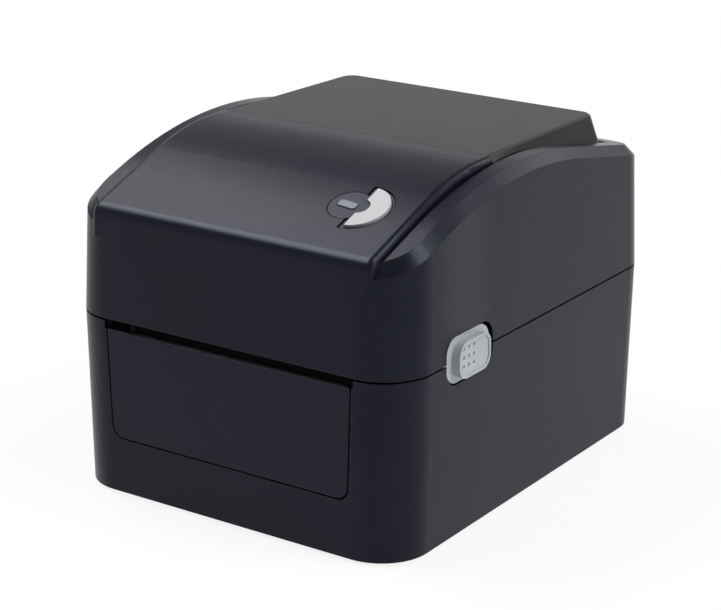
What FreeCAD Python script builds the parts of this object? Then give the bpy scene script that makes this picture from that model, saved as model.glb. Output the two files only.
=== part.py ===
import FreeCAD, Part
import math
import os
import Sketcher
from FreeCAD import Placement, Rotation, Vector

# Desktop thermal label printer, front towards -Y, resting on its feet at z = 0, sizes in millimetres
SIZES = {
    # Plan of the case and cover
    "case_width": 178.0,
    "case_depth": 215.0,
    "foot_drop": 1.5,
    "seam_z": 82.5,
    "seam_gap": 1.0,
    "wall": 2.5,
    "front_corner": 23.0,
    "rear_corner": 17.0,
    "base_taper_x": 1.2,
    "base_taper_y": 0.7,
    # Hood and shoulders of the cover
    "cover_lean": 1.86,
    "hood_top": 156.8,
    "hood_slope": 20.4,
    "hood_radius": 117.0,
    "hood_nose": 7.0,
    "shoulder_width": 15.7,
    "hood_band": 3.0,
    "hood_wall": 3.0,
    "hood_side_wall": 5.0,
    "hood_joint_y": -12.0,
    "hood_flat": 8.0,
    "shoulder_drop": 2.0,
    "shoulder_radius": 216.0,
    "shoulder_front_run": 75.0,
    "shoulder_rear_run": 41.2,
    "shoulder_facet": 4.5,
    "shoulder_wall": 4.5,
    "groove_width": 1.5,
    "groove_depth": 1.5,
    # Smoked window
    "window_rear_inset": 21.0,
    "window_rear_lean": 2.5,
    "window_taper": 1.3,
    "window_fall": 1.5,
    "window_corner": 5.5,
    "window_wall": 2.2,
    "window_gap": 0.25,
    "window_ledge": 11.0,
    "window_front_ledge": 4.0,
    "window_margin": 1.0,
    "window_bevel": 0.8,
    # Front panel and label exit
    "exit_height": 4.6,
    "exit_side_gap": 1.0,
    "panel_side_gap": 1.6,
    "panel_taper": 1.4,
    "panel_height": 50.4,
    "panel_corner": 5.7,
    "panel_gap": 0.8,
    "panel_clip": 3.0,
    "panel_clip_wall": 1.4,
    "panel_back": 1.2,
    # Bottom plate, feet and case screws
    "plate_rise": 0.7,
    "plate_wall": 2.5,
    "plate_gap": 0.3,
    "foot_radius": 7.5,
    "foot_bevel": 0.6,
    "foot_inset_x": 23.0,
    "foot_inset_y": 20.5,
    "boss_reach": 9.0,
    "boss_width": 9.0,
    "boss_height": 10.3,
    "boss_bite": 1.2,
    "boss_front_inset": 31.5,
    "boss_rear_inset": 23.5,
    "vent_length": 26.0,
    "vent_width": 3.0,
    "vent_pitch": 8.0,
    "vent_count": 6,
    "screw_radius": 1.5,
    "screw_head_radius": 2.8,
    "screw_head_height": 1.2,
    "screw_length": 9.0,
    "screw_slot": 0.7,
    "screw_slot_depth": 0.6,
    "screw_play": 0.25,
    "seat_gap": 0.03,
    # Media tray and paper deck
    "side_space": 18.5,
    "rear_space": 26.0,
    "cheek_wall": 3.0,
    "tray_wall": 2.5,
    "bay_radius": 58.0,
    "bay_flank": 57.0,
    "bay_floor_drop": 54.0,
    "roll_rise": 1.5,
    "tray_top_drop": 2.0,
    "cheek_setback": 7.5,
    "leg_depth": 21.0,
    "deck_wall": 2.5,
    "deck_gap": 1.5,
    "deck_drop": 1.8,
    "rear_slot_height": 6.0,
    "rear_slot_inset": 8.0,
    "rear_slot_drop": 10.5,
    "sensor_half": 4.0,
    "sensor_length": 8.0,
    "sensor_height": 7.0,
    "sensor_setback": 21.0,
    # Platen and its bushes
    "platen_setback": 19.5,
    "platen_rise": 1.4,
    "roller_radius": 7.5,
    "roller_core": 5.5,
    "roller_end": 5.5,
    "shaft_radius": 3.0,
    "shaft_tail": 3.0,
    "bush_radius": 5.0,
    "bush_flange": 6.2,
    "bush_flange_wall": 1.0,
    "bush_gap": 0.4,
    "running_gap": 0.05,
    # Drive gears and motor
    "drive_module": 0.8,
    "platen_teeth": 30,
    "idler_small_teeth": 14,
    "idler_large_teeth": 36,
    "pinion_teeth": 14,
    "mesh_gap": 0.12,
    "gear_width": 5.0,
    "gear_space": 2.0,
    "gear_step": 1.2,
    "idler_bearing": -62.0,
    "pinion_bearing": -80.0,
    "post_radius": 2.0,
    "post_head": 3.2,
    "post_head_wall": 0.8,
    "motor_side": 35.0,
    "motor_length": 28.0,
    "motor_corner": 4.0,
    "motor_pilot": 11.0,
    "motor_shaft": 2.5,
    "motor_screw_pitch": 26.0,
    # Roll guide and holders
    "rack_module": 1.0,
    "holder_teeth": 14,
    "rack_wall": 6.65,
    "rack_height": 4.0,
    "rack_gap": 0.3,
    "rack_mesh_gap": 0.1,
    "guide_wall": 2.0,
    "guide_lip": 1.9,
    "guide_lip_wall": 1.4,
    "guide_end": 3.0,
    "holder_wall": 4.0,
    "holder_half": 13.0,
    "holder_side_gap": 2.0,
    "rack_overrun": 8.0,
    "neck_width": 4.0,
    "hub_pin": 4.0,
    "core_radius": 12.7,
    "core_gap": 0.3,
    "hub_bevel": 1.8,
    "hub_length": 7.4,
    "hub_gap": 0.4,
    # Main board and rear sockets
    "board_wall": 1.6,
    "board_rise": 3.3,
    "board_inset": 8.0,
    "board_depth": 54.0,
    "board_rear_gap": 2.6,
    "standoff_radius": 3.0,
    "standoff_inset": 4.5,
    "board_screw_radius": 1.2,
    "chip_side": 14.0,
    "chip_height": 1.6,
    "plug_half": 12.0,
    "plug_inset": 18.0,
    "plug_height": 6.0,
    "capacitor": 4.0,
    "capacitor_height": 11.0,
    "jack_inset": 14.0,
    "jack_width": 11.0,
    "jack_height": 11.0,
    "jack_depth": 14.0,
    "jack_bore": 3.2,
    "jack_bore_depth": 10.0,
    "jack_pin": 1.0,
    "jack_hole": 4.6,
    "socket_pitch": 26.0,
    "usb_width": 12.0,
    "usb_height": 10.6,
    "usb_depth": 17.0,
    "usb_wall": 1.5,
    "usb_pocket": 9.0,
    "usb_tongue_width": 5.6,
    "usb_tongue_height": 3.2,
    "socket_gap": 0.4,
    "switch_inset": 18.0,
    "switch_z": 19.5,
    "switch_half": 10.0,
    "switch_half_height": 6.5,
    "switch_depth": 15.0,
    "switch_setback": 0.9,
    "switch_wall": 1.6,
    "rocker_half": 7.2,
    "rocker_depth": 4.6,
    "rocker_cavity": 8.0,
    "rocker_tilt": 10.0,
    "rocker_gap": 0.35,
    "trunnion_radius": 1.2,
    "trunnion_length": 1.2,
    # Cover hinge
    "hinge_inset": 3.7,
    "hinge_rise": 2.0,
    "hinge_knuckle": 3.2,
    "hinge_pin": 2.0,
    "hinge_side_inset": 41.0,
    "hinge_lug": 6.0,
    "hinge_gap": 0.5,
    "hinge_root": 10.5,
    "rear_notch": 2.2,
    # Cover liner
    "liner_rise": 4.2,
    "liner_wall": 2.5,
    "liner_side_gap": 1.0,
    "liner_front": 9.5,
    "liner_rear": 13.5,
    "liner_corner": 6.0,
    "liner_bay_gap": 1.0,
    "liner_bay_margin": 5.0,
    "liner_boss": 4.0,
    "liner_boss_inset_x": 4.0,
    "liner_boss_inset_y": 37.5,
    "liner_boss_root": 1.0,
    # Print head
    "head_inset": 2.5,
    "head_gap": 0.3,
    "head_wall": 1.3,
    "head_front": 8.0,
    "head_rear": 6.0,
    "sink_front": 10.0,
    "sink_rear": 12.0,
    "sink_height": 6.0,
    "sink_fin": 2.2,
    "sink_fin_depth": 2.6,
    "sink_fin_count": 12,
    "chip_cover_inset": 12.0,
    "chip_cover_drop": 0.4,
    "bracket_inset": 5.0,
    "bracket_wall": 1.5,
    "bracket_tab": 8.0,
    "pivot_setback": 22.0,
    "pivot_rise": 8.1,
    "pivot_pin": 2.0,
    "ear_wall": 3.0,
    "ear_gap": 2.0,
    "bridge_width": 10.0,
    "head_spring_height": 13.1,
    "head_spring_inset": 22.0,
    "head_spring_radius": 3.6,
    "head_spring_wire": 0.4,
    "head_spring_turns": 6,
    "tear_inset": 6.0,
    "tear_wall": 1.0,
    "tear_height": 8.0,
    "tear_pitch": 2.0,
    "tear_tooth": 0.8,
    "tear_gap": 0.15,
    # Side latches
    "latch_setback": 53.0,
    "latch_rise": 0.3,
    "latch_half": 17.0,
    "latch_half_height": 10.3,
    "latch_corner": 8.0,
    "latch_gap": 0.6,
    "latch_rear_gap": 2.5,
    "latch_recess": 0.6,
    "latch_flange": 2.4,
    "latch_pad_half": 12.5,
    "latch_pad_half_height": 8.25,
    "latch_pad_corner": 6.0,
    "latch_pad_stand": 3.9,
    "latch_rim": 1.3,
    "latch_dish": 0.5,
    "dimple_radius": 0.85,
    "dimple_depth": 0.5,
    "dimple_pitch": 4.0,
    "dimple_shift": 4.6,
    "dimple_lift": 1.2,
    "dimple_count": 3,
    "spur_length": 3.0,
    "spur_wall": 0.5,
    "latch_arm_half": 5.5,
    "latch_arm_reach": 4.5,
    "latch_arm_half_height": 4.5,
    "latch_leg": 1.7,
    "latch_nose": 1.2,
    "latch_nose_height": 3.0,
    "catch_gap": 0.3,
    "catch_wall": 2.0,
    "stem_radius": 3.0,
    "stem_play": 0.2,
    "latch_block": 4.0,
    "latch_block_half": 7.5,
    "latch_block_drop": 7.5,
    "latch_spring_length": 4.5,
    "latch_spring_radius": 4.3,
    "latch_spring_wire": 0.3,
    "latch_spring_turns": 3,
    # Button group on the hood
    "disc_shift": 5.0,
    "disc_s": -13.8,
    "disc_radius": 9.7,
    "crescent_inset": 27.3,
    "crescent_s": -14.1,
    "crescent_outer": 13.7,
    "crescent_inner": 5.0,
    "crescent_lead": 1.2,
    "crescent_stand": 0.7,
    "crescent_wall": 4.2,
    "crescent_flange": 0.8,
    "crescent_flange_wall": 1.5,
    "button_gap": 0.35,
    "button_stem": 1.5,
    "button_stem_length": 1.2,
    "button_travel": 0.8,
    "recess_ring": 1.7,
    "recess_lead": 1.6,
    "bezel_gap": 0.35,
    "bezel_sink": 0.7,
    "bezel_disc_sink": 0.1,
    "bezel_wall": 2.5,
    "lens_shift": 0.8,
    "lens_length": 9.3,
    "lens_width": 4.0,
    "lens_turn": -8.0,
    "lens_stand": 0.35,
    "lens_gap": 0.1,
    "lens_play": 0.25,
    "lens_corner": 1.2,
    "lens_flange": 0.7,
    "key_board_left": 19.0,
    "key_board_right": 20.0,
    "key_board_front": 20.9,
    "key_board_rear": 21.1,
    "key_post": 2.4,
    "key_post_inset": 4.0,
    "key_switch": 6.0,
    "key_switch_height": 1.5,
    "key_plunger": 0.8,
    "key_plunger_gap": 0.1,
    "led_side": 2.4,
    "led_height": 1.0,
}

doc = FreeCAD.newDocument("label_printer")
sheet = doc.addObject("Spreadsheet::Sheet", "dims")
for row, (alias, value) in enumerate(SIZES.items(), start=1):
    sheet.set(f"A{row}", alias)
    sheet.set(f"B{row}", str(value))
    sheet.setAlias(f"B{row}", alias)
doc.recompute()


# A number kept together with the sheet expression that gives it
class Size:
    def __init__(self, value, text):
        self.value = float(value)
        self.text = text

    def __add__(self, other):
        other = as_size(other)
        return Size(self.value + other.value, f"({self.text} + {other.text})")

    def __sub__(self, other):
        other = as_size(other)
        return Size(self.value - other.value, f"({self.text} - {other.text})")

    def __mul__(self, other):
        other = as_size(other)
        return Size(self.value * other.value, f"({self.text} * {other.text})")

    def __truediv__(self, other):
        other = as_size(other)
        return Size(self.value / other.value, f"({self.text} / {other.text})")

    def __radd__(self, other):
        return as_size(other) + self

    def __rsub__(self, other):
        return as_size(other) - self

    def __rmul__(self, other):
        return as_size(other) * self

    def __neg__(self):
        return Size(-self.value, f"(0 - {self.text})")


def as_size(number):
    if isinstance(number, Size):
        return number
    return Size(number, f"({number})")


def root(size):
    return Size(math.sqrt(size.value), f"sqrt({size.text})")


def sine(angle):
    return Size(math.sin(math.radians(angle.value)), f"sin({angle.text})")


def cosine(angle):
    return Size(math.cos(math.radians(angle.value)), f"cos({angle.text})")


def tangent(angle):
    return Size(math.tan(math.radians(angle.value)), f"tan({angle.text})")


# Reads a driving size back from the sheet
class Sheet:
    def __getattr__(self, alias):
        return Size(sheet.get(alias), f"dims.{alias}")


d = Sheet()

PLANES = {
    "XY": Placement(Vector(), Rotation()),
    "YZ": Placement(Vector(), Rotation(Vector(1, 1, 1), 120)),
    "XZ": Placement(Vector(), Rotation(Vector(1, 0, 0), 90)),
}
NORMAL = {"XY": "z", "YZ": "x", "XZ": "y"}
AXES = {
    "X": Rotation(Vector(0, 1, 0), 90),
    "Y": Rotation(Vector(1, 0, 0), -90),
    "Z": Rotation(),
}


def bind(obj, prop, size):
    obj.setExpression(prop, as_size(size).text)


# Outline corners are (u, v) or (u, v, radius), the radius bending the edge that leaves the corner
def arc_between(start, end, radius):
    chord = end - start
    middle = (start + end) * 0.5
    left = Vector(-chord.y, chord.x, 0).normalize()
    rise = math.sqrt(max(radius * radius - chord.Length ** 2 / 4, 0))
    centre = middle + left * math.copysign(rise, radius)
    first, last = (start, end) if radius > 0 else (end, start)
    angles = [math.atan2(p.y - centre.y, p.x - centre.x) for p in (first, last)]
    return Part.ArcOfCircle(Part.Circle(centre, Vector(0, 0, 1), abs(radius)), *angles)


def draw(sketch, outline):
    first = sketch.GeometryCount
    corners = [[as_size(number) for number in corner] for corner in outline]
    count = len(corners)
    points = [Vector(corner[0].value, corner[1].value, 0) for corner in corners]
    clockwise = [len(corner) > 2 and corner[2].value < 0 for corner in corners]
    for index, corner in enumerate(corners):
        start, end = points[index], points[(index + 1) % count]
        if len(corner) > 2:
            sketch.addGeometry(arc_between(start, end, corner[2].value), False)
        else:
            sketch.addGeometry(Part.LineSegment(start, end), False)
    for index, corner in enumerate(corners):
        following = (index + 1) % count
        start_end = 2 if clockwise[index] else 1
        far_end = 1 if clockwise[index] else 2
        next_end = 2 if clockwise[following] else 1
        joined = Sketcher.Constraint("Coincident", first + index, far_end, first + following, next_end)
        sketch.addConstraint(joined)
        for kind, size in (("DistanceX", corner[0]), ("DistanceY", corner[1])):
            rule = sketch.addConstraint(Sketcher.Constraint(kind, first + index, start_end, size.value))
            bind(sketch, f"Constraints[{rule}]", size)
        if len(corner) > 2:
            radius = -corner[2] if clockwise[index] else corner[2]
            rule = sketch.addConstraint(Sketcher.Constraint("Radius", first + index, radius.value))
            bind(sketch, f"Constraints[{rule}]", radius)


def draw_circle(sketch, u, v, radius):
    u, v, radius = as_size(u), as_size(v), as_size(radius)
    circle = Part.Circle(Vector(u.value, v.value, 0), Vector(0, 0, 1), radius.value)
    index = sketch.addGeometry(circle, False)
    for kind, size in (("DistanceX", u), ("DistanceY", v)):
        rule = sketch.addConstraint(Sketcher.Constraint(kind, index, 3, size.value))
        bind(sketch, f"Constraints[{rule}]", size)
    rule = sketch.addConstraint(Sketcher.Constraint("Radius", index, radius.value))
    bind(sketch, f"Constraints[{rule}]", radius)


def rectangle(u, v):
    return [(u[0], v[0]), (u[1], v[0]), (u[1], v[1]), (u[0], v[1])]


def rounded(u, v, low, high=None):
    high = low if high is None else high
    return [
        (u[0] + low, v[0]), (u[1] - low, v[0], low),
        (u[1], v[0] + low), (u[1], v[1] - high, high),
        (u[1] - high, v[1]), (u[0] + high, v[1], high),
        (u[0], v[1] - high), (u[0], v[0] + low, low),
    ]


def sketch_at(name, plane, outline, offset):
    sketch = doc.addObject("Sketcher::SketchObject", name)
    sketch.Placement = PLANES[plane]
    bind(sketch, f"Placement.Base.{NORMAL[plane]}", offset)
    draw(sketch, outline)
    return sketch


# Solid from an outline, from start along +Z, +X or -Y
def prism(name, plane, outline, start, length):
    solid = doc.addObject("Part::Extrusion", name)
    solid.Base = sketch_at(name + "_outline", plane, outline, start)
    solid.DirMode = "Normal"
    solid.Solid = True
    bind(solid, "LengthFwd", length)
    return solid


def loft(name, sections):
    solid = doc.addObject("Part::Loft", name)
    solid.Sections = [
        sketch_at(f"{name}_{index}", "XY", outline, height)
        for index, (outline, height) in enumerate(sections)
    ]
    solid.Solid = True
    solid.Ruled = True
    return solid


def box(name, x, y, z):
    solid = doc.addObject("Part::Box", name)
    for prop, axis, span in (("Length", "x", x), ("Width", "y", y), ("Height", "z", z)):
        bind(solid, prop, span[1] - span[0])
        bind(solid, f"Placement.Base.{axis}", span[0])
    return solid


def cylinder(name, axis, centre, radius, span):
    solid = doc.addObject("Part::Cylinder", name)
    solid.Placement = Placement(Vector(), AXES[axis])
    places = list(centre)
    places.insert("XYZ".index(axis), span[0])
    for letter, place in zip("xyz", places):
        bind(solid, f"Placement.Base.{letter}", place)
    bind(solid, "Radius", radius)
    bind(solid, "Height", span[1] - span[0])
    return solid


def cone(name, axis, centre, radii, span):
    solid = doc.addObject("Part::Cone", name)
    solid.Placement = Placement(Vector(), AXES[axis])
    places = list(centre)
    places.insert("XYZ".index(axis), span[0])
    for letter, place in zip("xyz", places):
        bind(solid, f"Placement.Base.{letter}", place)
    bind(solid, "Radius1", radii[0])
    bind(solid, "Radius2", radii[1])
    bind(solid, "Height", span[1] - span[0])
    return solid


def fuse(name, solids):
    joined = doc.addObject("Part::MultiFuse", name)
    joined.Shapes = solids
    joined.Refine = True
    return joined


def common(name, solids):
    shared = doc.addObject("Part::MultiCommon", name)
    shared.Shapes = solids
    return shared


def cut(name, base, tools):
    result = doc.addObject("Part::Cut", name)
    result.Base = base
    result.Tool = tools[0] if len(tools) == 1 else fuse(name + "_tools", tools)
    result.Refine = True
    return result


def group(name, solids):
    together = doc.addObject("Part::Compound", name)
    together.Links = solids
    return together


def mirrored(name, source):
    twin = doc.addObject("Part::Mirroring", name)
    twin.Source = source
    twin.Normal = Vector(1, 0, 0)
    return twin


# A piece built from Part's own functions, placed after its shape is set
def formed(name, shape, place=(0, 0, 0), turn=Rotation()):
    piece = doc.addObject("Part::Feature", name)
    piece.Shape = shape
    piece.Placement = Placement(Vector(*place), turn)
    return piece


def both_ways(side, low, high):
    return (low, high) if side > 0 else (-high, -low)


SIDES = ((-1, "left"), (1, "right"))


# Bodies, with sketches on their own origin planes
def new_body(name):
    return doc.addObject("PartDesign::Body", name)


def body_sketch(body, name, plane, offset):
    sketch = body.newObject("Sketcher::SketchObject", name)
    role = f"{plane}_Plane"
    sketch.AttachmentSupport = [(next(f for f in body.Origin.OriginFeatures if f.Role == role), "")]
    sketch.MapMode = "FlatFace"
    bind(sketch, "AttachmentOffset.Base.z", offset)
    return sketch


def pad(body, name, plane, outline, offset, length):
    sketch = body_sketch(body, name + "_sketch", plane, offset)
    draw(sketch, outline)
    return pad_sketch(body, name, sketch, length)


def pad_sketch(body, name, sketch, length):
    feature = body.newObject("PartDesign::Pad", name)
    feature.Profile = sketch
    bind(feature, "Length", length)
    return feature


def pad_circle(body, name, plane, centre, radius, offset, length):
    sketch = body_sketch(body, name + "_sketch", plane, offset)
    draw_circle(sketch, *centre, radius)
    return pad_sketch(body, name, sketch, length)


def pocket_sketch(body, name, sketch, length):
    feature = body.newObject("PartDesign::Pocket", name)
    feature.Profile = sketch
    bind(feature, "Length", length)
    return feature


def pocket(body, name, plane, outline, offset, length):
    sketch = body_sketch(body, name + "_sketch", plane, offset)
    draw(sketch, outline)
    return pocket_sketch(body, name, sketch, length)


def turned(body, name, outline, axis):
    sketch = body_sketch(body, name + "_sketch", "XZ", as_size(0))
    draw(sketch, outline)
    feature = body.newObject("PartDesign::Revolution", name)
    feature.Profile = sketch
    feature.ReferenceAxis = (sketch, [axis])
    feature.Angle = 360
    return feature


def set_place(obj, x, y, z):
    for letter, place in zip("xyz", (x, y, z)):
        bind(obj, f"Placement.Base.{letter}", place)


# Screw along an axis, its head at the start of the span
def screw(name, axis, centre, radius, start, length, way):
    head_end = start - d.screw_head_height * way
    spans = [(start, start + length * way), (head_end, start)]
    slot = (head_end, head_end + d.screw_slot_depth * way)
    shank = cylinder(name + "_shank", axis, centre, radius, ordered(spans[0]))
    head = cylinder(name + "_head", axis, centre, d.screw_head_radius, ordered(spans[1]))
    reach = d.screw_head_radius * 0.7
    arms = []
    for tag, across in (("a", (reach, d.screw_slot / 2)), ("b", (d.screw_slot / 2, reach))):
        sides = [
            (centre[0] - across[0], centre[0] + across[0]), (centre[1] - across[1], centre[1] + across[1]),
        ]
        sides.insert("XYZ".index(axis), ordered(slot))
        arms.append(box(f"{name}_slot_{tag}", *sides))
    return cut(name, fuse(name + "_blank", [shank, head]), arms)


def ordered(span):
    return span if span[0].value < span[1].value else (span[1], span[0])


# Involute gear about the X axis, tooth 0 towards +Y turned by phase degrees
ADDENDUM = 0.75
DEDENDUM = 1.0
PRESSURE = math.radians(20)
FLANK_STEPS = 4


def involute(angle):
    return math.tan(angle) - angle


def gear_points(module, teeth, phase):
    pitch = module * teeth / 2
    base = pitch * math.cos(PRESSURE)
    low, high = pitch - DEDENDUM * module, pitch + ADDENDUM * module
    start = max(base, low)
    radii = [start + (high - start) * step / FLANK_STEPS for step in range(FLANK_STEPS + 1)]
    half = math.pi / (2 * teeth) + involute(PRESSURE)
    flank = [(radius, half - involute(math.acos(base / radius))) for radius in radii]
    if low < base:
        flank.insert(0, (low, flank[0][1]))
    points = []
    for tooth in range(teeth):
        middle = math.radians(phase) + 2 * math.pi * tooth / teeth
        tooth_side = [(radius, middle - angle) for radius, angle in flank]
        tooth_side += [(radius, middle + angle) for radius, angle in reversed(flank)]
        points += [
            Vector(0, radius * math.cos(turn), radius * math.sin(turn)) for radius, turn in tooth_side
        ]
    return points


def gear_solid(module, teeth, width, bore, phase):
    points = gear_points(module, int(teeth), phase)
    blank = Part.Face(Part.makePolygon(points + points[:1])).extrude(Vector(width, 0, 0))
    return blank.cut(Part.makeCylinder(bore, width, Vector(), Vector(1, 0, 0)))


# Toothed bar along X with a gap centred on x = 0, its teeth towards -Y from a pitch line at y = 0
def rack_solid(module, left, right, height, wall):
    pitch = math.pi * module
    lean = math.tan(PRESSURE)
    tip, foot = -ADDENDUM * module, DEDENDUM * module
    back = foot + wall
    points = [Vector(left, back, 0), Vector(left, foot, 0)]
    first = math.ceil((left + pitch / 2) / pitch - 0.5)
    last = math.floor((right - pitch / 2) / pitch - 0.5)
    for tooth in range(first, last + 1):
        middle = (tooth + 0.5) * pitch
        at_foot = pitch / 4 + foot * lean
        at_tip = pitch / 4 + tip * lean
        points += [Vector(middle - at_foot, foot, 0), Vector(middle - at_tip, tip, 0)]
        points += [Vector(middle + at_tip, tip, 0), Vector(middle + at_foot, foot, 0)]
    points += [Vector(right, foot, 0), Vector(right, back, 0)]
    return Part.Face(Part.makePolygon(points + points[:1])).extrude(Vector(0, 0, height))


# Coil about +Z from z = 0, each quarter turn two arcs that share the helix's end points and directions
def coil_arcs(radius, pitch, turns):
    def place(turn):
        angle = 2 * math.pi * turn
        return Vector(radius * math.cos(angle), radius * math.sin(angle), pitch * turn)

    def heading(turn):
        angle = 2 * math.pi * turn
        run = 2 * math.pi * radius
        return Vector(-run * math.sin(angle), run * math.cos(angle), pitch).normalize()

    arcs = []
    for quarter in range(int(round(4 * turns))):
        begin, end = quarter / 4, (quarter + 1) / 4
        p0, p1, t0, t1 = place(begin), place(end), heading(begin), heading(end)
        span = p1 - p0
        both = t0 + t1
        spread = 2 * (1 - t0.dot(t1))
        reach = (-span.dot(both) + math.sqrt(span.dot(both) ** 2 + spread * span.dot(span))) / spread
        joint = (p0 + p1 + (t0 - t1) * reach) * 0.5
        arcs += [
            tangent_arc(p0, t0, joint), tangent_arc(joint, joint - (p1 - t1 * reach), p1, p1 - t1 * reach),
        ]
    return arcs


def tangent_arc(start, direction, end, corner=None):
    if corner is None:
        reach = (end - start).dot(end - start) / (2 * (end - start).dot(direction))
        corner = start + direction * reach
    chord_middle = (start + end) * 0.5
    half = (end - start).Length / 2
    reach = (corner - start).Length
    turn = math.acos(min(1.0, half / reach))
    sag = half * math.tan(turn / 2)
    middle = chord_middle + (corner - chord_middle).normalize() * sag
    return Part.Arc(start, middle, end).toShape()


def coil_solid(name, radius, wire, pitch, turns):
    path = Part.Wire(coil_arcs(radius, pitch, turns))
    heading = path.Edges[0].tangentAt(path.Edges[0].FirstParameter)
    section = Part.Wire(Part.makeCircle(wire, Vector(radius, 0, 0), heading))
    points = path.discretize(int(turns) * 36)
    apart = [
        points[i].distanceToPoint(points[j])
        for i in range(len(points))
        for j in range(i + 18, len(points))
    ]
    print(f"{name} least gap to itself {min(apart) - 2 * wire:.2f} mm")
    return path.makePipeShell([section], True, False)


# Levels and lines that several pieces share
half_width = d.case_width / 2
half_depth = d.case_depth / 2
case_top = d.seam_z - d.seam_gap / 2
cover_foot = d.seam_z + d.seam_gap / 2
plate_foot = d.foot_drop + d.plate_rise
plate_top = plate_foot + d.plate_wall
panel_top = cover_foot - d.exit_height
cover_height = d.hood_top - cover_foot
cover_taper = cover_height * tangent(d.cover_lean)
zero = as_size(0)
tray_half = half_width - d.wall - d.side_space
tray_in = tray_half - d.cheek_wall
exit_half = tray_in + d.exit_side_gap
panel_top_half = exit_half - d.panel_side_gap
panel_foot_half = panel_top_half - d.panel_taper
hood_half = half_width - d.shoulder_width
board_half = tray_half - d.board_inset
jack_middle = d.jack_inset - board_half
usb_middle = jack_middle + d.socket_pitch
switch_middle = board_half - d.switch_inset
hinge_in = half_width - d.hinge_side_inset


def plan(inset_x, inset_y, corner_inset):
    return rounded(
        (inset_x - half_width, half_width - inset_x),
        (inset_y - half_depth, half_depth - inset_y),
        d.front_corner - corner_inset,
        d.rear_corner - corner_inset,
    )


# Lower case
def case_loft(name, inset):
    foot = plan(d.base_taper_x + inset, d.base_taper_y + inset, inset)
    return loft(name, [(foot, d.foot_drop), (plan(inset, inset, inset), case_top)])


case_skin = cut("case_skin", case_loft("case_outer", zero), [case_loft("case_inner", d.wall)])


def panel_outline(grow):
    foot = panel_foot_half + grow
    top = panel_top_half + grow
    low = panel_top - d.panel_height - grow
    corner = d.panel_corner + grow
    return [
        (corner - foot, low), (foot - corner, low, corner),
        (foot, low + corner), (top, panel_top), (-top, panel_top),
        (-foot, low + corner, corner),
    ]


latch_y = d.latch_setback - half_depth
latch_z = d.seam_z + d.latch_rise
latch_cut_outline = rounded(
    (latch_y - d.latch_half - d.latch_gap, latch_y + d.latch_half + d.latch_rear_gap),
    (latch_z - d.latch_half_height - d.latch_gap, latch_z + d.latch_half_height + d.latch_gap),
    d.latch_corner,
)
latch_flange_out = half_width - d.latch_recess
latch_flange_in = latch_flange_out - d.latch_flange
latch_leg_in = latch_flange_in - d.latch_arm_reach
catch_in = latch_leg_in + d.latch_leg + d.latch_nose + d.catch_gap
catch_top = latch_z - d.latch_half_height - d.latch_gap - d.catch_gap
cut_reach = d.wall + d.latch_flange
latch_cuts = [
    prism(f"latch_cut_{tag}", "YZ", latch_cut_outline, side * half_width - cut_reach, 2 * cut_reach)
    for side, tag in SIDES
]
hinge_y = half_depth - d.hinge_inset
hinge_z = d.seam_z + d.hinge_rise
boss_ys = (d.boss_front_inset - half_depth, half_depth - d.boss_rear_inset)
boss_out = half_width - d.base_taper_x - d.boss_bite
boss_x = boss_out - d.boss_reach / 2
case_rear_in = half_depth - d.base_taper_y - d.wall
roll_z = d.seam_z + d.roll_rise
bay_rear = half_depth - d.wall - d.rear_space
roll_y = bay_rear - d.bay_flank
bay_front = roll_y - d.bay_flank
bay_floor = roll_z - d.bay_floor_drop
tray_top = d.seam_z - d.tray_top_drop
rear_slot_middle = tray_top - d.rear_slot_drop
rear_slot_z = (rear_slot_middle - d.rear_slot_height / 2, rear_slot_middle + d.rear_slot_height / 2)
board_foot = plate_top + d.board_rise
board_top = board_foot + d.board_wall
jack_z = board_top + d.jack_height / 2
usb_z = (board_top, board_top + d.usb_height)

case_adds = [case_skin]
case_cuts = list(latch_cuts)
for side, tag in SIDES:
    for place, boss_y in zip(("front", "rear"), boss_ys):
        across = (boss_y - d.boss_width / 2, boss_y + d.boss_width / 2)
        reach = both_ways(side, boss_out - d.boss_reach, boss_out)
        case_adds.append(box(f"boss_{place}_{tag}", reach, across, (plate_top, plate_top + d.boss_height)))
        pilot = d.screw_radius + d.seat_gap
        centre = (side * boss_x, boss_y)
        pilot_z = (plate_foot, plate_top + d.boss_height)
        case_cuts.append(cylinder(f"pilot_{place}_{tag}", "Z", centre, pilot, pilot_z))
    ear_x = both_ways(side, hinge_in, hinge_in + d.hinge_lug)
    ear_y = (hinge_y - d.hinge_knuckle, hinge_y + d.hinge_knuckle)
    case_adds.append(box(f"hinge_root_{tag}", ear_x, ear_y, (hinge_z - d.hinge_root, hinge_z)))
    case_adds.append(cylinder(f"hinge_ear_{tag}", "X", (hinge_y, hinge_z), d.hinge_knuckle, ear_x))
    bore = d.hinge_pin + d.running_gap
    case_cuts.append(cylinder(f"hinge_bore_{tag}", "X", (hinge_y, hinge_z), bore, ear_x))
    catch_x = both_ways(side, catch_in, half_width - d.wall / 2)
    catch_y = (latch_y - d.latch_arm_half - d.latch_gap, latch_y + d.latch_arm_half + d.latch_gap)
    case_adds.append(box(f"catch_{tag}", catch_x, catch_y, (catch_top - d.catch_wall, catch_top)))
case_cuts.append(prism("panel_cut", "XZ", panel_outline(d.panel_gap), 2 * d.wall - half_depth, 3 * d.wall))
exit_y = (-half_depth - d.wall, 2 * d.wall - half_depth)
case_cuts.append(box("exit_cut", (-exit_half, exit_half), exit_y, (panel_top, d.seam_z)))
notch_half = half_width - d.rear_corner / 2
notch_top = case_top - d.rear_notch
notch_y = (half_depth - d.wall - d.hinge_inset, half_depth + d.wall)
ear_in = hinge_in - d.hinge_gap
ear_out = hinge_in + d.hinge_lug + d.hinge_gap
notch_spans = ((-notch_half, -ear_out), (-ear_in, ear_in), (ear_out, notch_half))
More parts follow.
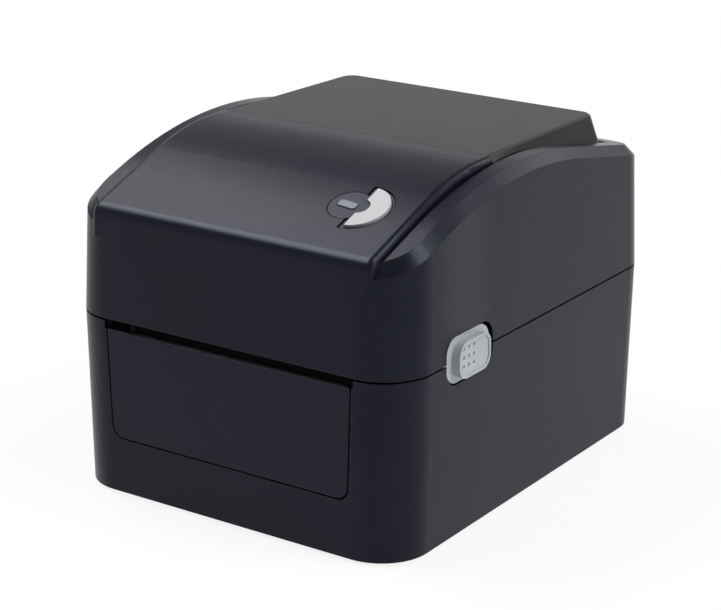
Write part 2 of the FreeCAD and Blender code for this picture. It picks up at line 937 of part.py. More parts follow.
for index, notch_x in enumerate(notch_spans):
    case_cuts.append(box(f"rear_notch_{index}", notch_x, notch_y, (notch_top, d.seam_z)))
rear_y = (case_rear_in - d.wall, half_depth + d.wall)
slot_half = tray_in - d.rear_slot_inset
slot_x = (-slot_half, slot_half)
case_cuts.append(box("rear_slot", slot_x, rear_y, rear_slot_z))
case_cuts.append(cylinder("jack_hole_cut", "Y", (jack_middle, jack_z), d.jack_hole, rear_y))
usb_half = d.usb_width / 2 + d.socket_gap
usb_x = (usb_middle - usb_half, usb_middle + usb_half)
case_cuts.append(box("usb_hole", usb_x, rear_y, (usb_z[0] - d.socket_gap, usb_z[1] + d.socket_gap)))
switch_hole_x = (switch_middle - d.switch_half - d.socket_gap, switch_middle + d.switch_half + d.socket_gap)
switch_hole = d.switch_half_height + d.socket_gap
switch_hole_z = (d.switch_z - switch_hole, d.switch_z + switch_hole)
case_cuts.append(box("switch_hole", switch_hole_x, rear_y, switch_hole_z))
lower_case = cut("lower_case", fuse("case_with_bosses", case_adds), case_cuts)

# Front panel, cut from the same skin as the case so that it lies flush
panel_form = prism("panel_form", "XZ", panel_outline(zero), 2 * d.wall - half_depth, 3 * d.wall)
panel_face = common("panel_face", [case_skin, panel_form])
panel_low = panel_top - d.panel_height
panel_skin_y = d.wall + d.base_taper_y - half_depth
panel_step = panel_skin_y + d.panel_back
back_half = panel_foot_half - d.panel_gap
back_z = (panel_low + d.panel_corner, panel_top - d.panel_clip)
panel_back = box("panel_back_block", (-back_half, back_half), (d.wall / 2 - half_depth, panel_step), back_z)
clip_half = panel_foot_half + d.panel_clip
clip_y = (panel_step - d.panel_back / 2, panel_step + d.panel_clip_wall)
clip_z = (back_z[0] + d.panel_corner, back_z[1] - d.panel_corner)
panel_clip = box("panel_clip_plate", (-clip_half, clip_half), clip_y, clip_z)
front_panel = fuse("front_panel", [panel_face, panel_back, panel_clip])

# Bottom plate with vents and board standoffs
plate_inset = d.wall + d.plate_gap
plate_plan = plan(d.base_taper_x + plate_inset, d.base_taper_y + plate_inset, plate_inset)
board_rear = case_rear_in - d.board_rear_gap
board_y = (board_rear - d.board_depth, board_rear)
standoff_xs = (d.standoff_inset - board_half, board_half - d.standoff_inset)
standoff_ys = (board_y[0] + d.standoff_inset, board_y[1] - d.standoff_inset)
standoffs = [(x, y) for x in standoff_xs for y in standoff_ys]
board_pilot = d.board_screw_radius + d.seat_gap
plate_adds = [prism("plate_blank", "XY", plate_plan, plate_foot, d.plate_wall)]
plate_cuts = []
for number, centre in enumerate(standoffs, start=1):
    standoff_z = (plate_foot + d.plate_wall / 2, board_foot)
    plate_adds.append(cylinder(f"standoff_{number}", "Z", centre, d.standoff_radius, standoff_z))
    plate_cuts.append(cylinder(f"standoff_pilot_{number}", "Z", centre, board_pilot, standoff_z))
screw_pass = d.screw_radius + d.screw_play
case_screw_centres = [(side * boss_x, boss_y) for side, tag in SIDES for boss_y in boss_ys]
for number, centre in enumerate(case_screw_centres, start=1):
    plate_cuts.append(cylinder(f"screw_pass_{number}", "Z", centre, screw_pass, (plate_foot, plate_top)))
vent_start = -d.vent_pitch * (d.vent_count - 1) / 2
for number in range(int(d.vent_count.value)):
    vent_x = vent_start + d.vent_pitch * number
    vent_span = (vent_x - d.vent_width / 2, vent_x + d.vent_width / 2)
    plate_cuts.append(box(f"vent_{number}", vent_span, (-d.vent_length, zero), (plate_foot, plate_top)))
bottom_plate = cut("bottom_plate", fuse("plate_with_standoffs", plate_adds), plate_cuts)

# Feet and case screws
feet = []
foot_x = half_width - d.foot_inset_x
foot_y = half_depth - d.foot_inset_y
foot_centres = [(side * foot_x, end * foot_y) for side in (-1, 1) for end in (-1, 1)]
sole_radii = (d.foot_radius - d.foot_bevel, d.foot_radius)
for number, centre in enumerate(foot_centres, start=1):
    sole = cone(f"foot_sole_{number}", "Z", centre, sole_radii, (zero, d.foot_bevel))
    pad_block = cylinder(f"foot_pad_{number}", "Z", centre, d.foot_radius, (d.foot_bevel, plate_foot))
    feet.append(fuse(f"foot_{number}", [sole, pad_block]))
rubber_feet = group("rubber_feet", feet)
case_screws = group("case_screws", [
    screw(f"case_screw_{number}", "Z", centre, d.screw_radius, plate_foot, d.screw_length, 1)
    for number, centre in enumerate(case_screw_centres, start=1)
])


# Media tray with the roll bay, and print frame with side cheeks and paper deck
def bay_outline(grow, top):
    radius = d.bay_radius + grow
    flank = d.bay_flank + grow
    drop = d.bay_floor_drop + grow
    side_z = roll_z - root(radius * radius - flank * flank)
    floor_half = root(radius * radius - drop * drop)
    return [
        (roll_y - flank, top), (roll_y - flank, side_z, radius),
        (roll_y - floor_half, roll_z - drop), (roll_y + floor_half, roll_z - drop, radius),
        (roll_y + flank, side_z), (roll_y + flank, top),
    ]


platen_y = d.platen_setback - half_depth
platen_top = panel_top + d.platen_rise
platen_z = platen_top - d.roller_radius
deck_top = platen_top - d.deck_drop
cheek_front = d.cheek_setback - half_depth
drive = d.drive_module / 2
idler_reach = drive * (d.platen_teeth + d.idler_small_teeth) + d.mesh_gap
pinion_reach = drive * (d.idler_large_teeth + d.pinion_teeth) + d.mesh_gap
idler_y = platen_y + idler_reach * cosine(d.idler_bearing)
idler_z = platen_z + idler_reach * sine(d.idler_bearing)
pinion_y = idler_y + pinion_reach * cosine(d.pinion_bearing)
pinion_z = idler_z + pinion_reach * sine(d.pinion_bearing)
sensor_y = (platen_y + d.sensor_setback, platen_y + d.sensor_setback + d.sensor_length)

bay_outer = prism("bay_outer", "YZ", bay_outline(d.tray_wall, tray_top), -tray_half, 2 * tray_half)
bay_inner = prism("bay_inner", "YZ", bay_outline(zero, tray_top), -tray_in, 2 * tray_in)
tray_adds = [cut("bay_shell", bay_outer, [bay_inner])]
frame_rear = bay_front - d.tray_wall - d.seat_gap
frame_adds = []
frame_cuts = []
for side, tag in SIDES:
    cheek_x = both_ways(side, tray_in, tray_half)
    frame_adds.append(box(f"cheek_{tag}", cheek_x, (cheek_front, frame_rear), (plate_top, tray_top)))
    leg_y = (bay_rear + d.tray_wall - d.leg_depth, bay_rear + d.tray_wall)
    tray_adds.append(box(f"leg_{tag}", cheek_x, leg_y, (plate_top, tray_top)))
    bush_seat = d.bush_radius + d.running_gap
    frame_cuts.append(cylinder(f"bush_seat_{tag}", "X", (platen_y, platen_z), bush_seat, cheek_x))
    throat = (platen_y - bush_seat, platen_y + bush_seat)
    frame_cuts.append(box(f"bush_throat_{tag}", cheek_x, throat, (platen_z, tray_top)))
deck_y = (platen_y + d.roller_radius + d.deck_gap, frame_rear)
deck_z = (deck_top - d.deck_wall, deck_top)
frame_adds.append(box("deck", (-tray_in, tray_in), deck_y, deck_z))
frame_cuts.append(box("sensor_window", (-d.sensor_half, d.sensor_half), sensor_y, deck_z))
left_cheek = (-tray_half, -tray_in)
pinion_centre = (pinion_y, pinion_z)
frame_cuts.append(cylinder("pilot_hole", "X", pinion_centre, d.motor_pilot + d.screw_play, left_cheek))
post_bore = d.post_radius + d.seat_gap
frame_cuts.append(cylinder("post_hole", "X", (idler_y, idler_z), post_bore, left_cheek))
half_pitch = d.motor_screw_pitch / 2
motor_screw_centres = [
    (pinion_y + sy * half_pitch, pinion_z + sz * half_pitch) for sy, sz in ((-1, -1), (1, 1), (1, -1))
]
for number, centre in enumerate(motor_screw_centres, start=1):
    frame_cuts.append(cylinder(f"motor_pass_{number}", "X", centre, screw_pass, left_cheek))
right_window_y = (pinion_y - half_pitch, pinion_y + half_pitch)
right_window_z = (pinion_z - half_pitch, pinion_z + half_pitch)
frame_cuts.append(box("cheek_window", (tray_in, tray_half), right_window_y, right_window_z))
print_frame = cut("print_frame", fuse("frame_blank", frame_adds), frame_cuts)
lip_y = (bay_front - 2 * d.tray_wall, bay_front + d.tray_wall / 2)
tray_slot_y = (bay_rear - d.rear_slot_height, bay_rear + 2 * d.tray_wall)
media_tray = cut("media_tray", fuse("tray_blank", tray_adds), [
    box("deck_lip_cut", (-tray_in, tray_in), lip_y, (deck_top, tray_top)),
    box("tray_rear_slot", slot_x, tray_slot_y, rear_slot_z),
])
sensor_z = (deck_top - d.deck_wall - d.sensor_height, deck_top - d.deck_wall)
eye_half = d.sensor_half - d.socket_gap
eye_y = (sensor_y[0] + d.socket_gap, sensor_y[1] - d.socket_gap)
eye_z = (sensor_z[1] - d.deck_wall, deck_top - d.socket_gap)
gap_sensor = fuse("gap_sensor", [
    box("sensor_block", (-2 * d.sensor_half, 2 * d.sensor_half), sensor_y, sensor_z),
    box("sensor_eye", (-eye_half, eye_half), eye_y, eye_z),
])

# Platen: stepped shaft, rubber sleeve, gear and the bushes it runs in
gear_right = -(tray_half + d.gear_space)
gear_left = gear_right - d.gear_width
roller_half = tray_in - d.roller_end
core_half = tray_in - d.bush_flange_wall - d.bush_gap
shaft_right = tray_half + d.shaft_tail
shaft_left = gear_left - d.seat_gap
platen_shaft = new_body("platen_shaft")
turned(platen_shaft, "shaft_turning", [
    (shaft_left, zero), (shaft_right, zero), (shaft_right, d.shaft_radius),
    (core_half, d.shaft_radius), (core_half, d.roller_core), (-core_half, d.roller_core),
    (-core_half, d.shaft_radius), (shaft_left, d.shaft_radius),
], "H_Axis")
set_place(platen_shaft, zero, platen_y, platen_z)
platen_roller = new_body("platen_roller")
sleeve = d.roller_core + d.seat_gap
roller_section = rectangle((-roller_half, roller_half), (sleeve, d.roller_radius))
turned(platen_roller, "roller_turning", roller_section, "H_Axis")
set_place(platen_roller, zero, platen_y, platen_z)
bushes = []
for side, tag in SIDES:
    flange_x = both_ways(side, tray_in - d.bush_flange_wall, tray_in)
    ring_x = both_ways(side, tray_in, tray_half)
    ring = cylinder(f"bush_ring_{tag}", "X", (platen_y, platen_z), d.bush_radius, ring_x)
    flange = cylinder(f"bush_flange_{tag}", "X", (platen_y, platen_z), d.bush_flange, flange_x)
    through = both_ways(side, tray_in - d.bush_flange_wall, tray_half)
    bore = cylinder(f"bush_bore_{tag}", "X", (platen_y, platen_z), d.shaft_radius + d.running_gap, through)
    bushes.append(cut(f"bush_{tag}", fuse(f"bush_blank_{tag}", [ring, flange]), [bore]))
platen_bushes = group("platen_bushes", bushes)

# Gear train on the left cheek, a tooth of one gear in a gap of the next on each line of centres
module = d.drive_module.value
width = d.gear_width.value
to_idler, to_pinion = d.idler_bearing.value, d.pinion_bearing.value
half_tooth = {name: 180 / getattr(d, name).value for name in ("idler_small_teeth", "pinion_teeth")}
platen_gear = formed(
    "platen_gear",
    gear_solid(module, d.platen_teeth.value, width, d.shaft_radius.value + d.seat_gap.value, to_idler),
    (gear_left.value, platen_y.value, platen_z.value),
)
idler_bore = d.post_radius.value + d.running_gap.value
wide_right = gear_left - d.gear_step
wide_left = wide_right - d.gear_width
small_gear = gear_solid(module, d.idler_small_teeth.value, (gear_right - wide_right).value, idler_bore,
                        to_idler + 180 + half_tooth["idler_small_teeth"])
small_gear.translate(Vector((wide_right - wide_left).value, 0, 0))
large_gear = gear_solid(module, d.idler_large_teeth.value, width, idler_bore, to_pinion)
idler_gear = formed("idler_gear", large_gear.fuse(small_gear).removeSplitter(),
                    (wide_left.value, idler_y.value, idler_z.value))
motor_pinion = formed(
    "motor_pinion",
    gear_solid(module, d.pinion_teeth.value, width, d.motor_shaft.value + d.seat_gap.value,
               to_pinion + 180 + half_tooth["pinion_teeth"]),
    (wide_left.value, pinion_y.value, pinion_z.value),
)
post_end = wide_left - d.bush_gap
post_head_x = (post_end - d.post_head_wall, post_end)
idler_post = fuse("idler_post", [
    cylinder("post_pin", "X", (idler_y, idler_z), d.post_radius, (post_end, -tray_in)),
    cylinder("post_head_disc", "X", (idler_y, idler_z), d.post_head, post_head_x),
    cylinder("post_collar", "X", (idler_y, idler_z), d.post_head, (gear_right + d.bush_gap, -tray_half)),
])

# Motor on the inside of the left cheek, with its turning shaft
motor_right = d.motor_length - tray_in
motor_half = d.motor_side / 2
c = d.motor_corner
low_y, high_y = pinion_y - motor_half, pinion_y + motor_half
low_z, high_z = pinion_z - motor_half, pinion_z + motor_half
motor_outline = [
    (low_y + c, low_z), (high_y - c, low_z), (high_y, low_z + c), (high_y, high_z - c),
    (high_y - c, high_z), (low_y + c, high_z), (low_y, high_z - c), (low_y, low_z + c),
]
motor_blank = fuse("motor_blank", [
    prism("motor_block", "YZ", motor_outline, -tray_in, d.motor_length),
    cylinder("motor_pilot_disc", "X", (pinion_y, pinion_z), d.motor_pilot, (-tray_half, -tray_in)),
])
shaft_depth = d.motor_length / 2 - tray_in
motor_bore = d.motor_shaft + d.running_gap
motor_cuts = [cylinder("motor_bore_cut", "X", pinion_centre, motor_bore, (-tray_half, shaft_depth))]
for number, centre in enumerate(motor_screw_centres, start=1):
    span = (-tray_in, d.screw_length - tray_in)
    motor_cuts.append(cylinder(f"motor_tap_{number}", "X", centre, d.screw_radius + d.seat_gap, span))
drive_motor = cut("drive_motor", motor_blank, motor_cuts)
shaft_x = (wide_left, shaft_depth - d.bush_gap)
motor_shaft = cylinder("motor_shaft_rod", "X", pinion_centre, d.motor_shaft, shaft_x)
motor_screws = group("motor_screws", [
    screw(f"motor_screw_{number}", "X", centre, d.screw_radius, -tray_half, d.screw_length, 1)
    for number, centre in enumerate(motor_screw_centres, start=1)
])

# Roll guide, racks, pinion and holders
rack = d.rack_module
guide_foot = bay_floor
channel_floor = guide_foot + d.guide_wall
rack_low = channel_floor + d.rack_gap
rack_top = rack_low + d.rack_height
lip_low = rack_top + d.rack_gap
lip_top = lip_low + d.guide_lip_wall
rack_line = rack * d.holder_teeth / 2 + d.rack_mesh_gap
rack_root = rack_line + DEDENDUM * rack
rack_back = rack_root + d.rack_wall
channel_half = rack_back + d.rack_gap
guide_half = channel_half + d.guide_wall
guide_end = tray_in - d.guide_end
guide_x = (-guide_end, guide_end)
guide_y = (roll_y - guide_half, roll_y + guide_half)
guide_adds = [box("guide_floor", guide_x, guide_y, (guide_foot, channel_floor))]
for side, tag in ((-1, "front"), (1, "rear")):
    rail_y = [roll_y + edge for edge in both_ways(side, channel_half, guide_half)]
    lip_y = [roll_y + edge for edge in both_ways(side, channel_half - d.guide_lip, guide_half)]
    guide_adds.append(box(f"rail_{tag}", guide_x, rail_y, (guide_foot, lip_top)))
    guide_adds.append(box(f"lip_{tag}", guide_x, lip_y, (lip_low, lip_top)))
guide_adds.append(cylinder("pinion_post", "Z", (zero, roll_y), d.post_radius, (guide_foot, lip_low)))
roll_guide = fuse("roll_guide", guide_adds)
holder_gear = gear_solid(rack.value, d.holder_teeth.value, d.rack_height.value, idler_bore, 0)
upright = Rotation(Vector(0, 1, 0), -90)
holder_pinion = formed("holder_pinion", holder_gear, (0, roll_y.value, rack_low.value), upright)
holder_out = tray_in - d.holder_side_gap
holder_in = holder_out - d.holder_wall
holder_foot = lip_top + d.rack_gap
holder_parts = {}
for side, tag in SIDES:
    arm_outline = [
        (roll_y - d.holder_half, holder_foot), (roll_y + d.holder_half, holder_foot),
        (roll_y + d.holder_half, roll_z, d.holder_half),
        (roll_y, roll_z + d.holder_half, d.holder_half),
        (roll_y - d.holder_half, roll_z),
    ]
    arm_x = both_ways(side, holder_in, holder_out)
    arm = prism(f"arm_{tag}", "YZ", arm_outline, arm_x[0], d.holder_wall)
    neck_y = [roll_y + edge for edge in both_ways(-side, rack_root, rack_root + d.neck_width)]
    neck = box(f"neck_{tag}", arm_x, neck_y, (rack_top - d.rack_gap, holder_foot + d.rack_gap))
    bar_size = [size.value for size in (-holder_out, d.rack_overrun, d.rack_height, d.rack_wall)]
    bar = rack_solid(rack.value, *bar_size)
    bar_y = roll_y - side * rack_line
    facing = Rotation(Vector(0, 0, 1), 180 if side > 0 else 0)
    rack_bar = formed(f"rack_{tag}", bar, (0, bar_y.value, rack_low.value), facing)
    pin_x = both_ways(side, holder_in - d.hub_length - 2 * d.hub_gap, holder_in)
    pin = cylinder(f"hub_pin_{tag}", "X", (roll_y, roll_z), d.hub_pin, pin_x)
    holder_parts[tag] = fuse(f"holder_{tag}", [arm, neck, rack_bar, pin])
    hub_x = both_ways(side, holder_in - d.hub_gap - d.hub_length, holder_in - d.hub_gap)
    hub_radius = d.core_radius - d.core_gap
    hub_inner = holder_in - d.hub_gap - d.hub_length
    drum_x = both_ways(side, hub_inner + d.hub_bevel, holder_in - d.hub_gap)
    nose_x = both_ways(side, hub_inner, hub_inner + d.hub_bevel)
    nose_radii = (hub_radius - d.hub_bevel, hub_radius)
    hub_blank = fuse(f"hub_blank_{tag}", [
        cylinder(f"hub_drum_{tag}", "X", (roll_y, roll_z), hub_radius, drum_x),
        cone(f"hub_nose_{tag}", "X", (roll_y, roll_z), nose_radii[::side], nose_x),
    ])
    hub_bore = cylinder(f"hub_bore_{tag}", "X", (roll_y, roll_z), d.hub_pin + d.running_gap, hub_x)
    holder_parts["hub_" + tag] = cut(f"roll_hub_{tag}", hub_blank, [hub_bore])

# Main board, its parts and the rear sockets
board_blank = box("board_blank", (-board_half, board_half), board_y, (board_foot, board_top))
board_pass = d.board_screw_radius + d.screw_play
board_holes = [
    cylinder(f"board_hole_{number}", "Z", centre, board_pass, (board_foot, board_top))
    for number, centre in enumerate(standoffs, start=1)
]
main_board = cut("main_board", board_blank, board_holes)
board_screw = d.board_rise + d.board_wall
board_screws = group("board_screws", [
    screw(f"board_screw_{number}", "Z", centre, d.board_screw_radius, board_top, board_screw, -1)
    for number, centre in enumerate(standoffs, start=1)
])


def chip(name, centre, half_x, half_y, height):
    x, y = centre
    return box(name, (x - half_x, x + half_x), (y - half_y, y + half_y), (board_top, board_top + height))


board_middle = (board_y[0] + board_y[1]) / 2
plug_y = board_y[0] + d.chip_side / 2
motor_plug_x = d.plug_inset - board_half
can_z = (board_top, board_top + d.capacitor_height)
board_parts = group("board_parts", [
    chip("processor", (d.chip_side, board_middle), d.chip_side / 2, d.chip_side / 2, d.chip_height),
    chip("memory", (3 * d.chip_side, board_middle), d.chip_side / 3, d.chip_side / 2, d.chip_height),
    chip("head_plug", (zero, plug_y), d.plug_half, d.chip_side / 4, d.plug_height),
    chip("motor_plug", (motor_plug_x, plug_y), d.chip_side / 2, d.chip_side / 4, d.plug_height),
    cylinder("capacitor_left", "Z", (-2 * d.chip_side, board_middle), d.capacitor, can_z),
    cylinder("capacitor_right", "Z", (-d.chip_side, board_middle), d.capacitor, can_z),
])

jack_rear = case_rear_in - d.socket_gap
jack_x = (jack_middle - d.jack_width / 2, jack_middle + d.jack_width / 2)
jack_y = (jack_rear - d.jack_depth, jack_rear)
jack_block = box("jack_block", jack_x, jack_y, (board_top, board_top + d.jack_height))
jack_mouth = (jack_rear - d.jack_bore_depth, jack_rear)
jack_bore = cylinder("jack_bore_cut", "Y", (jack_middle, jack_z), d.jack_bore, jack_mouth)
jack_pin_y = (jack_mouth[0] - d.socket_gap, jack_mouth[1] - d.jack_pin)
jack_pin = cylinder("jack_pin_rod", "Y", (jack_middle, jack_z), d.jack_pin, jack_pin_y)
power_inlet = fuse("power_inlet", [cut("jack_hollow", jack_block, [jack_bore]), jack_pin])

usb_rear = half_depth - d.base_taper_y - d.socket_gap
usb_half_x = d.usb_width / 2
usb_shell_x = (usb_middle - usb_half_x, usb_middle + usb_half_x)
usb_shell = box("usb_shell", usb_shell_x, (usb_rear - d.usb_depth, usb_rear), usb_z)
pocket_y = (usb_rear - d.usb_pocket, usb_rear)
pocket_x = (usb_middle - usb_half_x + d.usb_wall, usb_middle + usb_half_x - d.usb_wall)
usb_mouth = box("usb_mouth", pocket_x, pocket_y, (usb_z[0] + d.usb_wall, usb_z[1] - d.usb_wall))
tongue_half = d.usb_tongue_width / 2
tongue_z = (usb_z[0] + usb_z[1] - d.usb_tongue_height) / 2
tongue_x = (usb_middle - tongue_half, usb_middle + tongue_half)
tongue_y = (pocket_y[0] - d.usb_wall / 2, pocket_y[1] - d.usb_wall)
usb_tongue = box("usb_tongue", tongue_x, tongue_y, (tongue_z, tongue_z + d.usb_tongue_height))
data_socket = fuse("data_socket", [cut("usb_hollow", usb_shell, [usb_mouth]), usb_tongue])

# Power switch: housing in the rear wall and the rocker on its trunnions
switch_face = half_depth - d.switch_setback
switch_x = (switch_middle - d.switch_half, switch_middle + d.switch_half)
switch_zs = (d.switch_z - d.switch_half_height, d.switch_z + d.switch_half_height)
housing_block = box("housing_block", switch_x, (switch_face - d.switch_depth, switch_face), switch_zs)
cavity_half = d.switch_half - d.switch_wall
cavity_height = d.switch_half_height - d.switch_wall
cavity_z = (d.switch_z - cavity_height, d.switch_z + cavity_height)
cavity_y = (switch_face - d.rocker_cavity, switch_face)
cavity_x = (switch_middle - cavity_half, switch_middle + cavity_half)
housing_cavity = box("housing_cavity", cavity_x, cavity_y, cavity_z)
rocker_y = switch_face - d.rocker_depth - tangent(d.rocker_tilt) * d.rocker_half
trunnion_half = cavity_height - d.rocker_gap + d.trunnion_length
bore_half = trunnion_half + d.rocker_gap
trunnion_bore = cylinder("trunnion_bore", "Z", (switch_middle, rocker_y), d.trunnion_radius + d.running_gap,
                         (d.switch_z - bore_half, d.switch_z + bore_half))
switch_housing = cut("switch_housing", housing_block, [housing_cavity, trunnion_bore])
rocker_height = cavity_height - d.rocker_gap
power_rocker = new_body("power_rocker")
pad(power_rocker, "rocker_block", "XY", [
    (-d.rocker_half, d.rocker_depth / 2), (zero, -d.rocker_depth / 3),
    (d.rocker_half, d.rocker_depth / 2), (d.rocker_half, d.rocker_depth),
    (zero, d.rocker_depth - d.switch_setback), (-d.rocker_half, d.rocker_depth),
], -rocker_height, 2 * rocker_height)
trunnion_sizes = (d.trunnion_radius, -trunnion_half, 2 * trunnion_half)
pad_circle(power_rocker, "rocker_trunnion", "XY", (zero, zero), *trunnion_sizes)
power_rocker.Placement = Placement(Vector(), Rotation(Vector(0, 0, 1), 1))
bind(power_rocker, "Placement.Rotation.Angle", d.rocker_tilt)
set_place(power_rocker, switch_middle, rocker_y, d.switch_z)

# Top cover: shoulders, raised hood, groove between them and the hollow inside
shoulder_top = d.hood_top - d.shoulder_drop
shoulder_centre_z = shoulder_top - d.shoulder_radius


def on_shoulder(run):
    return shoulder_centre_z + root(d.shoulder_radius * d.shoulder_radius - run * run)


def shoulder_slope(run):
    return run / root(d.shoulder_radius * d.shoulder_radius - run * run)


def behind_shoulder(y):
    run = d.shoulder_rear_run
    return on_shoulder(run) - shoulder_slope(run) * (y - run)


# Shoulder line lowered by some depth, closed at a level below or above it
def shoulder_outline(lower, level, rear):
    front = -half_depth - d.wall
    front_run, rear_run = d.shoulder_front_run, d.shoulder_rear_run
    front_z = on_shoulder(front_run) + shoulder_slope(front_run) * (front + front_run)
    return [
        (front, level), (rear, level), (rear, behind_shoulder(rear) - lower),
        (rear_run, on_shoulder(rear_run) - lower, d.shoulder_radius),
        (-front_run, on_shoulder(front_run) - lower), (front, front_z - lower),
    ]


def hood_outline(inset, level, rear):
    lean, slope = d.cover_lean, d.hood_slope
    radius = d.hood_radius - inset
    crown_y = d.hood_joint_y - d.hood_flat
    crown_z = d.hood_top - d.hood_radius
    start = (crown_y - radius * sine(slope), crown_z + radius * cosine(slope))
    wall_y = inset - half_depth
    ahead = start[0] - wall_y - (start[1] - cover_foot) * tangent(lean)
    run = ahead / (cosine(slope) - sine(slope) * tangent(lean))
    nose = d.hood_nose - inset
    reach = nose * tangent((90 - lean - slope) / 2)
    corner = (start[0] - run * cosine(slope), start[1] - run * sine(slope))
    return [
        (wall_y + (level - cover_foot) * tangent(lean), level), (rear, level), (rear, crown_z + radius),
        (crown_y, crown_z + radius, radius), start,
        (corner[0] + reach * cosine(slope), corner[1] + reach * sine(slope), nose),
        (corner[0] - reach * sine(lean), corner[1] - reach * cosine(lean)),
    ]


def cover_loft(name, inset):
    top = plan(cover_taper + inset, cover_taper + inset, inset)
    return loft(name, [(plan(inset, inset, inset), cover_foot), (top, d.hood_top)])


cover_rear = half_depth + d.wall
shoulder_line = shoulder_outline(zero, cover_foot, cover_rear)
shoulder_form = prism("shoulder_form", "YZ", shoulder_line, -half_width, 2 * half_width)
shoulder_block = common("shoulder_block", [cover_loft("cover_outer", zero), shoulder_form])
doc.recompute()


# Edges where the shoulder's upper faces meet its walls
def rim_edges(shape):
    upper = [face for face in shape.Faces if face.normalAt(*middle_of(face)).z > 0.5]
    counts = {}
    for face in upper:
        for edge in face.Edges:
            counts[edge.hashCode()] = counts.get(edge.hashCode(), 0) + 1
    return [
        number for number, edge in enumerate(shape.Edges, start=1)
        if counts.get(edge.hashCode(), 0) == 1
    ]


def middle_of(face):
    low_u, high_u, low_v, high_v = face.ParameterRange
    return (low_u + high_u) / 2, (low_v + high_v) / 2


shoulder_facets = doc.addObject("Part::Chamfer", "shoulder_facets")
shoulder_facets.Base = shoulder_block
facet = d.shoulder_facet.value
shoulder_facets.Edges = [(number, facet, facet) for number in rim_edges(shoulder_block.Shape)]

hood_level = cover_foot + cover_height / 2
hood_form = new_body("hood_form")
hood_line = hood_outline(zero, hood_level, d.hood_joint_y)
hood_pad = pad(hood_form, "hood_pad", "YZ", hood_line, -hood_half, 2 * hood_half)
doc.recompute()


# Upper side edges of the hood, from its front wall to the joint
def hood_rim(feature):
    names = []
    for number, edge in enumerate(feature.Shape.Edges, start=1):
        along_side = all(abs(abs(vertex.X) - hood_half.value) < 1e-4 for vertex in edge.Vertexes)
        middle = edge.CenterOfMass
        if along_side and middle.z > hood_level.value + 1e-4 and middle.y < d.hood_joint_y.value - 1e-4:
            names.append(f"Edge{number}")
    return names


hood_sides = hood_rim(hood_pad)
hood_band = hood_form.newObject("PartDesign::Fillet", "hood_band")
hood_band.Base = (hood_pad, hood_sides)
bind(hood_band, "Radius", d.hood_band)
doc.recompute()

groove_half = hood_half + d.groove_width
window_rear = half_depth - d.window_rear_inset
window_foot_rear = window_rear + d.window_rear_lean
above_hood = d.hood_top + d.wall
groove_rear = window_foot_rear + d.window_margin
groove_line = shoulder_outline(d.groove_depth, above_hood, groove_rear)
groove_form = prism("groove_form", "YZ", groove_line, -groove_half, 2 * groove_half)
grooved = cut("grooved_shoulders", shoulder_facets, [groove_form])
liner_foot = cover_foot + d.liner_rise
liner_top = liner_foot + d.liner_wall
block_out = latch_leg_in - d.latch_spring_length
block_in = block_out - d.latch_block
liner_half = block_out - d.liner_side_gap
inner_line = shoulder_outline(d.shoulder_wall, cover_foot, cover_rear)
inner_form = prism("inner_form", "YZ", inner_line, -half_width, 2 * half_width)
cover_hollow = common("cover_hollow", [cover_loft("cover_inner", d.wall), inner_form])
hood_hollow_half = hood_half - d.hood_side_wall
hood_inner = hood_outline(d.hood_wall, hood_level, d.hood_joint_y - d.hood_wall)
hood_hollow = prism("hood_hollow", "YZ", hood_inner, -hood_hollow_half, 2 * hood_hollow_half)
window_open_half = groove_half - d.window_ledge
window_open_y = (d.hood_joint_y + d.window_front_ledge, window_foot_rear - d.window_ledge)
window_open_x = (-window_open_half, window_open_half)
window_open = box("window_open", window_open_x, window_open_y, (hood_level, above_hood))

# Button group frame: u across, s up the slope and n out of it, from the top of the slope
crescent_x = hood_half - d.crescent_inset
disc_x = crescent_x - d.disc_shift
lens_x = disc_x - d.lens_shift
slope_y = d.hood_joint_y - d.hood_flat - d.hood_radius * sine(d.hood_slope)
slope_z = d.hood_top - d.hood_radius + d.hood_radius * cosine(d.hood_slope)


def on_slope(body):
    body.Placement = Placement(Vector(), Rotation(Vector(1, 0, 0), 1))
    bind(body, "Placement.Rotation.Angle", d.hood_slope)
    set_place(body, zero, slope_y, slope_z)
    return body


def slope_cylinder(name, u, s, radius, low, high):
    post = doc.addObject("Part::Cylinder", name)
    post.Placement = Placement(Vector(), Rotation(Vector(1, 0, 0), 1))
    bind(post, "Placement.Rotation.Angle", d.hood_slope)
    place_y = slope_y + s * cosine(d.hood_slope) - low * sine(d.hood_slope)
    place_z = slope_z + s * sine(d.hood_slope) + low * cosine(d.hood_slope)
    set_place(post, u, place_y, place_z)
    bind(post, "Radius", radius)
    bind(post, "Height", high - low)
    return post


def crescent_outline(grow):
    u, s = crescent_x, d.crescent_s
    outer, inner, lead = d.crescent_outer + grow, d.crescent_inner - grow, d.crescent_lead - grow
    outer_end, inner_end = root(outer * outer - lead * lead), root(inner * inner - lead * lead)
    return [
        (u + lead, s - outer_end, outer), (u + outer, s, outer), (u + lead, s + outer_end),
        (u + lead, s + inner_end, -inner), (u + inner, s, -inner), (u + lead, s - inner_end),
    ]


def recess_outline(grow):
    u, s = crescent_x, d.crescent_s
    radius, lead = d.crescent_outer + d.recess_ring + grow, d.recess_lead + grow
    end = root(radius * radius - lead * lead)
    return [(u - lead, s - end, radius), (u + radius, s, radius), (u - lead, s + end)]


